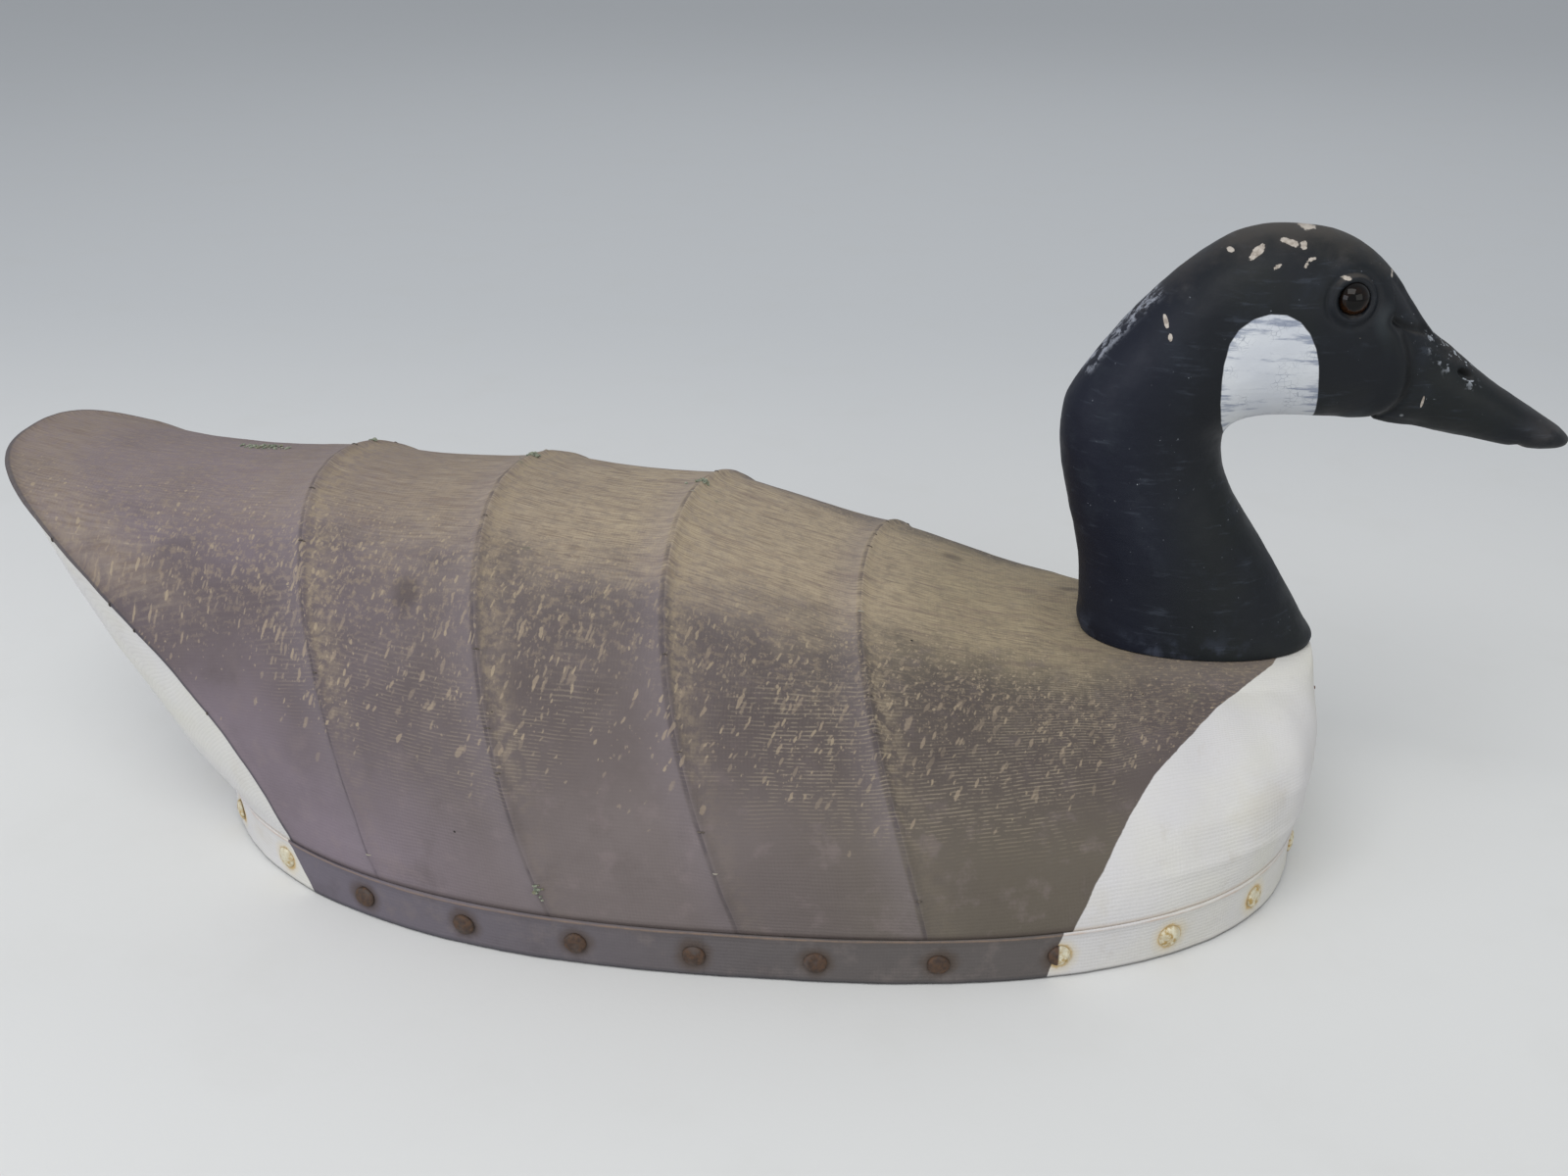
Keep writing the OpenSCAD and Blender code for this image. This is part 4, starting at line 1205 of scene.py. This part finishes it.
# ---------------------------------------------------------------- tacks and head
def tack_material():
    """Rust, with paint left on some heads."""
    s = Shader("rusted tack", roughness=0.7)
    pos = s.position()
    fine = s.noise(pos, scale=420.0, detail=5, roughness=0.65)
    coarse = s.noise(pos, scale=130.0, roughness=0.6)
    col = s.mix(s.ramp(fine, over=(0.35, 0.65)), srgb(54, 40, 32), srgb(86, 64, 48))
    col = s.mix(s.ramp(coarse, over=(0.46, 0.66), to=(0, 0.7)), col, srgb(80, 72, 68))
    white = s.mix(s.ramp(fine, over=(0.4, 0.62)), srgb(214, 208, 184), srgb(170, 142, 84))
    white = s.mix(s.ramp(coarse, over=(0.45, 0.6), to=(0, 0.7)), white, srgb(196, 192, 172))
    col = s.mix(s.ramp(s.attribute("white"), over=(-0.5, 0.5)), col, white)
    return s.finish(col, s.ramp(fine, over=(0.3, 0.7), to=(0.55, 0.85)),
                    s.bump(s.add(fine, coarse), strength=0.5, distance=0.0006), Metallic=0.15)


class HeadShader(Shader):
    """The textures that the layers of head paint share."""

    def __init__(self):
        super().__init__("head paint", roughness=0.5)
        self.pos = self.position()
        self.big = self.noise(self.pos, scale=14.0)
        self.mid = self.noise(self.pos, scale=60.0, detail=5, roughness=0.6)
        self.fine = self.noise(self.pos, scale=320.0, detail=5, roughness=0.65)
        self.grain = self.noise(self.pos, (90, 300, 420), roughness=0.6)
        self.x, _, self.z = self.split(self.pos)
        self.facing_up = self.split(self.node("NewGeometry").outputs["Normal"])[2]
        self.brush = self.noise(self.pos, (60, 60, 420), roughness=0.6)


def head_black(s, crown):
    back = s.ramp(s.jitter(s.x, s.big, 0.08), over=(0.165, 0.215), to=(1, 0))
    col = s.mix(s.ramp(s.big, over=(0.38, 0.62)), srgb(20, 24, 25), srgb(15, 19, 25))
    col = s.mix(s.mul(back, 0.7), col, srgb(18, 22, 38))
    col = s.mix(s.ramp(s.mid, over=(0.5, 0.78), to=(0, 0.5)), col, srgb(38, 43, 51))
    strokes = s.mul(s.ramp(s.brush, over=(0.56, 0.7), to=(0, 0.35)),
                    s.ramp(s.mid, over=(0.4, 0.6)))
    col = s.mix(strokes, col, srgb(60, 66, 76))
    col = s.mix(s.mul(crown, 0.5), col, srgb(88, 82, 76))
    # worn bill tip and foot
    tip = s.mul(s.ramp(s.x, over=(0.335, 0.362)), s.ramp(s.mid, over=(0.4, 0.6), to=(0.05, 0.4)))
    col = s.mix(tip, col, srgb(84, 80, 78))
    foot = s.mul(s.ramp(s.z, over=(0.098, 0.110), to=(1, 0)),
                 s.ramp(s.mid, over=(0.48, 0.64), to=(0, 0.35)))
    col = s.mix(foot, col, srgb(70, 76, 92))
    # painted shade darkens the creases, with a painted highlight as a lighter line on the face
    # side
    crease = s.attribute("crease")
    col = s.mix(s.ramp(crease, over=(0.6, 2.6), to=(0.75, 0)), col, srgb(8, 10, 12))
    line = s.mul(s.ramp(crease, over=(3.0, 5.5)), s.ramp(crease, over=(5.5, 11.0), to=(1, 0)),
                 s.ramp(s.x, over=(0.268, 0.278), to=(1, 0)))
    return s.mix(s.mul(line, 0.3), col, srgb(66, 74, 78))


def head_cheek(s, col):
    mask = s.ramp(s.jitter(s.attribute("cheek"), s.mid, 1.0), over=(-0.25, 0.3))
    white = s.mix(s.ramp(s.big, over=(0.4, 0.6)), srgb(186, 190, 197), srgb(200, 203, 206))
    near_edge = s.ramp(s.attribute("cheek"), over=(0.0, 9.0), to=(0.5, 0.0))
    streaks = s.add(s.brush, s.mul(near_edge, 0.24))
    white = s.mix(s.ramp(streaks, over=(0.58, 0.74), to=(0, 0.7)), white, srgb(104, 114, 136))
    cracks = s.cells(s.pos, (420, 420, 420), feature="DISTANCE_TO_EDGE")["Distance"]
    cracks = s.mul(s.ramp(cracks, over=(0.015, 0.045), to=(1, 0)),
                   s.ramp(s.mid, over=(0.48, 0.62), to=(0, 0.5)))
    white = s.mix(cracks, white, srgb(84, 94, 112))
    return s.mix(mask, col, white)


def head_wear(s, col, chips):
    """Chips, rubbed nape, flecks, spots, and painted shade in the nostrils."""
    wood = s.mix(s.ramp(s.fine, over=(0.35, 0.6)), srgb(138, 128, 118), srgb(178, 170, 160))
    col = s.mix(chips, col, wood)
    rub_noise = s.noise(s.pos, scale=190.0, detail=5, roughness=0.7)
    rub = s.mul(s.attribute("rub"), s.ramp(rub_noise, over=(0.46, 0.6)))
    col = s.mix(s.mul(rub, 0.8), col, srgb(150, 154, 164))
    flecks = s.ramp(s.noise(s.pos, scale=520.0, detail=3, roughness=0.6), over=(0.7, 0.75))
    flecks = s.mul(flecks, s.ramp(s.mid, over=(0.48, 0.6)))
    # flecks on top of the bill
    ridge_top = s.mul(s.ramp(s.x, over=(0.292, 0.298)),
                      s.ramp(s.x, over=(0.314, 0.322), to=(1, 0)))
    upper = s.mul(s.ramp(s.facing_up, over=(0.3, 0.75)), s.ramp(s.fine, over=(0.56, 0.62)))
    ridge_top = s.mul(ridge_top, upper)
    flecks = s.math("MAXIMUM", s.mul(flecks, 0.6), s.mul(ridge_top, 0.8))
    col = s.mix(flecks, col, srgb(172, 178, 186))
    spots = s.spots(s.pos, (38, 38, 30), edge=(0.035, 0.06), channel=0, rarity=0.72)
    col = s.mix(s.mul(spots, 0.75), col, srgb(160, 164, 168))
    # painted shade: near-black inside the nostril hollows
    return s.mix(s.ramp(s.attribute("nostril"), over=(3.0, 4.0), to=(0.97, 0)), col,
                 srgb(4, 4, 5))


def head_material():
    s = HeadShader()
    crown = s.ramp(s.jitter(s.facing_up, s.mid, 0.8), over=(0.55, 1.1))
    crown = s.mul(crown, s.ramp(s.z, over=(0.2, 0.265), to=(0.1, 1.0)))
    chips = s.ramp(s.jitter(s.attribute("chip"), s.fine, 1.8), over=(0.0, 0.25))
    col = head_wear(s, head_cheek(s, head_black(s, crown)), chips)
    strokes = s.add(s.mul(s.grain, 0.6), s.mul(s.brush, 0.3))
    normal = s.bump(strokes, strength=0.22, distance=0.0006)
    pits = s.sub(s.fine, s.mul(chips, 1.6))
    normal = s.bump(pits, strength=0.3, distance=0.0004, normal=normal)
    roughness = s.add(s.ramp(s.mid, over=(0.3, 0.7), to=(0.46, 0.64)), s.mul(crown, 0.2))
    return s.finish(col, roughness, normal, Specular_IOR_Level=0.24)


# ---------------------------------------------------------------- other materials
def thread_material():
    s = Shader("thread", roughness=0.9)
    fine = s.noise(s.position(), scale=900.0, detail=3, roughness=0.6)
    col = s.mix(s.ramp(fine, over=(0.35, 0.65)), srgb(62, 56, 52), srgb(104, 94, 84))
    col = s.mix(s.ramp(s.attribute("pick"), over=(0.8, 0.82)), col, srgb(150, 144, 132))
    return s.finish(col, 0.9, s.bump(fine, strength=0.5, distance=0.0003))


def lichen_material():
    s = Shader("lichen growth", roughness=0.95)
    fine = s.noise(s.position(), scale=700.0, roughness=0.7)
    col = s.mix(s.ramp(fine, over=(0.35, 0.65)), srgb(92, 100, 84), srgb(156, 160, 142))
    col = s.mix(s.ramp(s.attribute("pick"), over=(0.7, 0.9), to=(0, 0.6)), col,
                srgb(120, 112, 86))
    return s.finish(col, 0.95, s.bump(fine, strength=0.8, distance=0.0006))


def wood_material(name, light, middle, dark, upright=False):
    """Wood with its grain along x, or along z if upright."""
    s = Shader(name, roughness=0.65)
    pos = s.position()
    grain = s.noise(pos, (120, 120, 9) if upright else (9, 120, 120), detail=5, roughness=0.6,
                    distortion=0.6)
    rings = s.wave(s.stretch(pos, (9, 9, 1.2) if upright else (1.2, 9, 9)), "Y", scale=2.2,
                   distortion=6.0, detail=3.0, detail_scale=1.5)
    spots = s.noise(pos, scale=22.0, roughness=0.6)
    col = s.mix(rings, light, middle)
    col = s.mix(s.ramp(grain, over=(0.45, 0.62), to=(0, 0.7)), col, dark)
    col = s.mix(s.ramp(spots, over=(0.58, 0.75), to=(0, 0.5)), col, dark)
    relief = s.add(grain, s.mul(rings, 0.3))
    return s.finish(col, s.ramp(grain, over=(0.3, 0.7), to=(0.55, 0.78)),
                    s.bump(relief, strength=0.35, distance=0.0006))


def metal_material(name, dark, light, roughness, metallic, scale=240.0):
    s = Shader(name, roughness)
    pos = s.position()
    fine = s.noise(pos, scale, detail=5, roughness=0.65)
    patches = s.noise(pos, scale * 0.2, roughness=0.6)
    col = s.mix(s.ramp(fine, over=(0.38, 0.62)), dark, light)
    col = s.mix(s.ramp(patches, over=(0.5, 0.7), to=(0, 0.5)), col, srgb(96, 66, 46))
    roughness = s.ramp(fine, over=(0.3, 0.7), to=(roughness - 0.12, roughness + 0.2))
    return s.finish(col, roughness, s.bump(fine, strength=0.4, distance=0.0004),
                    Metallic=metallic)


def leather_material():
    s = Shader("old leather", roughness=0.75)
    pos = s.position()
    pores = s.cells(pos, (700, 700, 700))["Distance"]
    patches = s.noise(pos, scale=90.0, roughness=0.6)
    col = s.mix(s.ramp(patches, over=(0.35, 0.65)), srgb(74, 60, 42), srgb(104, 90, 66))
    col = s.mix(s.ramp(pores, over=(0.2, 0.5), to=(0, 0.4)), col, srgb(48, 40, 30))
    return s.finish(col, 0.75, s.bump(pores, strength=0.5, distance=0.0004))


def eye_material():
    """A dark brown iris round a black pupil, under a clear coat."""
    s = Shader("glass eye", roughness=0.06)
    x, _, z = s.split(s.position())
    centre_z = EYE_Z * MM
    radius = s.math("SQRT", s.add(s.math("POWER", s.sub(x, EYE_X * MM), 2.0),
                                  s.math("POWER", s.sub(z, centre_z), 2.0)))
    fine = s.noise(s.position(), (900, 900, 900), detail=3, roughness=0.6)
    pupil = s.ramp(s.jitter(radius, fine, 0.0004), over=(0.0034, 0.0040))
    iris = s.mix(s.ramp(fine, over=(0.3, 0.7)), srgb(24, 13, 7), srgb(50, 29, 14))
    col = s.mix(pupil, srgb(3, 3, 3), iris)
    # painted shade darkens the upper part of the eye, leaving the lower iris lighter
    shade = s.ramp(z, over=(centre_z - 0.004, centre_z + 0.001), to=(0, 0.8))
    col = s.mix(shade, col, srgb(7, 5, 4))
    col = s.mix(s.ramp(radius, over=(0.0052, 0.0064)), col, srgb(8, 6, 5))
    return s.finish(col, 0.06, s.bump(fine, strength=0.02, distance=0.0001), Coat_Weight=0.35,
                    Coat_Roughness=0.02, Coat_IOR=1.4, Specular_IOR_Level=0.08)


use(canvas, cloth_material("painted canvas", is_band=False))
use(band, cloth_material("painted band", is_band=True))
use(tacks, tack_material())
use(head, head_material())
use(stitches, thread_material())
use(lichen, lichen_material())

wood = wood_material("weathered pine", srgb(150, 122, 88), srgb(126, 98, 68), srgb(92, 72, 52))
dowel_wood = wood_material("dowel wood", srgb(186, 152, 106), srgb(160, 126, 84),
                           srgb(120, 92, 62), upright=True)
wire = metal_material("rusty wire", srgb(70, 60, 54), srgb(104, 80, 62),
                      roughness=0.62, metallic=0.6)
steel = metal_material("dull steel", srgb(120, 118, 114), srgb(150, 146, 140),
                       roughness=0.42, metallic=0.9)
rust = metal_material("rusted nail", srgb(72, 46, 32), srgb(112, 76, 50),
                      roughness=0.72, metallic=0.3)
lead = metal_material("lead sheet", srgb(84, 86, 90), srgb(112, 114, 118),
                      roughness=0.55, metallic=0.7, scale=90.0)
leather = leather_material()
eye = eye_material()

# The CAD pieces that stay; any that isn't named here is wire.
PIECE_MATERIALS = {
    "bottom_board": wood, "neck_block": wood, "neck_dowel": dowel_wood,
    "left_eye": eye, "right_eye": eye, "ballast": lead, "ballast_screws": steel,
    "neck_block_screws": steel, "rib_staples": steel, "collar_tacks": rust,
    "anchor_tie": leather, "anchor_tie_nail": rust}
REPLACED = ("canvas_cover", "edge_band", "edge_tacks", "head")
ROUND_PIECES = ("left_eye", "right_eye", "neck_dowel", "tail_hoop", "backbone", "tail_prop")
for name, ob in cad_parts.items():
    if name in REPLACED:
        continue
    use(ob, PIECE_MATERIALS.get(name, wire))
    if name in ROUND_PIECES or name.startswith("rib_"):
        ob.data.polygons.foreach_set("use_smooth", [True] * len(ob.data.polygons))


# ---------------------------------------------------------------- stage, light, camera
def floor_material():
    s = Shader("pale floor", roughness=0.9)
    pos = s.position()
    far = s.add(s.split(pos)[1], s.mul(s.noise(pos, scale=3.0, detail=2), 0.03))
    col = s.mix(s.ramp(far, over=(0.08, 0.9)), srgb(214, 214, 212), srgb(196, 198, 199))
    patches = s.noise(pos, scale=14.0, roughness=0.6)
    col = s.mix(s.ramp(patches, over=(0.5, 0.75), to=(0, 0.08)), col, srgb(190, 188, 180))
    grit = s.noise(pos, scale=500.0, detail=3)
    return s.finish(col, 0.9, s.bump(grit, strength=0.1, distance=0.0004))


def build_floor(reach=9.0, z=-0.0006):
    """A square floor just under the board, in metres."""
    mesh = bpy.data.meshes.new("floor")
    corners = [(-reach, -reach, z), (reach, -reach, z), (reach, reach, z), (-reach, reach, z)]
    mesh.from_pydata(corners, [], [(0, 1, 2, 3)])
    ob = bpy.data.objects.new("floor", mesh)
    bpy.context.scene.collection.objects.link(ob)
    use(ob, floor_material())
    return ob


def add_light(name, location, target, size, power, colour):
    light = bpy.data.lights.new(name, "AREA")
    light.shape = "RECTANGLE"
    light.size, light.size_y = size
    light.energy = power
    light.color = colour
    ob = bpy.data.objects.new(name, light)
    ob.location = location
    aim = Vector(target) - Vector(location)
    ob.rotation_euler = aim.to_track_quat("-Z", "Y").to_euler()
    bpy.context.scene.collection.objects.link(ob)


def add_camera():
    camera = bpy.data.cameras.new("photo_view")
    camera.sensor_width = 36.0
    camera.lens = 36.0
    ob = bpy.data.objects.new("photo_view", camera)
    ob.location = (0.089, -0.684, 0.443)
    ob.rotation_euler = (math.radians(64), 0, math.radians(6))
    bpy.context.scene.collection.objects.link(ob)
    bpy.context.scene.camera = ob


floor = build_floor()

world = bpy.data.worlds.new("studio")
bpy.context.scene.world = world
world.use_nodes = True
background = world.node_tree.nodes["Background"]
background.inputs["Color"].default_value = (0.90, 0.94, 1.0, 1)
background.inputs["Strength"].default_value = 0.56

# Area lights: name, location, target, size in metres, power in watts, colour
LIGHTS = [
    ("key", (-0.35, -1.1, 2.1), (0, 0, 0.1), (1.8, 1.4), 25, (1.0, 0.99, 0.97)),
    ("fill", (1.5, -1.9, 1.0), (0.1, 0, 0.1), (1.8, 1.4), 11, (1.0, 0.99, 0.93)),
    ("left", (-1.9, -1.5, 0.7), (-0.2, 0, 0.1), (1.4, 1.2), 17, (0.87, 0.90, 1.0)),
    ("back", (0.3, 2.0, 1.8), (0, 0, 0.1), (2.0, 1.0), 5, (0.96, 0.98, 1.0))]
for light in LIGHTS:
    add_light(*light)
add_camera()
bpy.context.scene.view_settings.view_transform = "Standard"
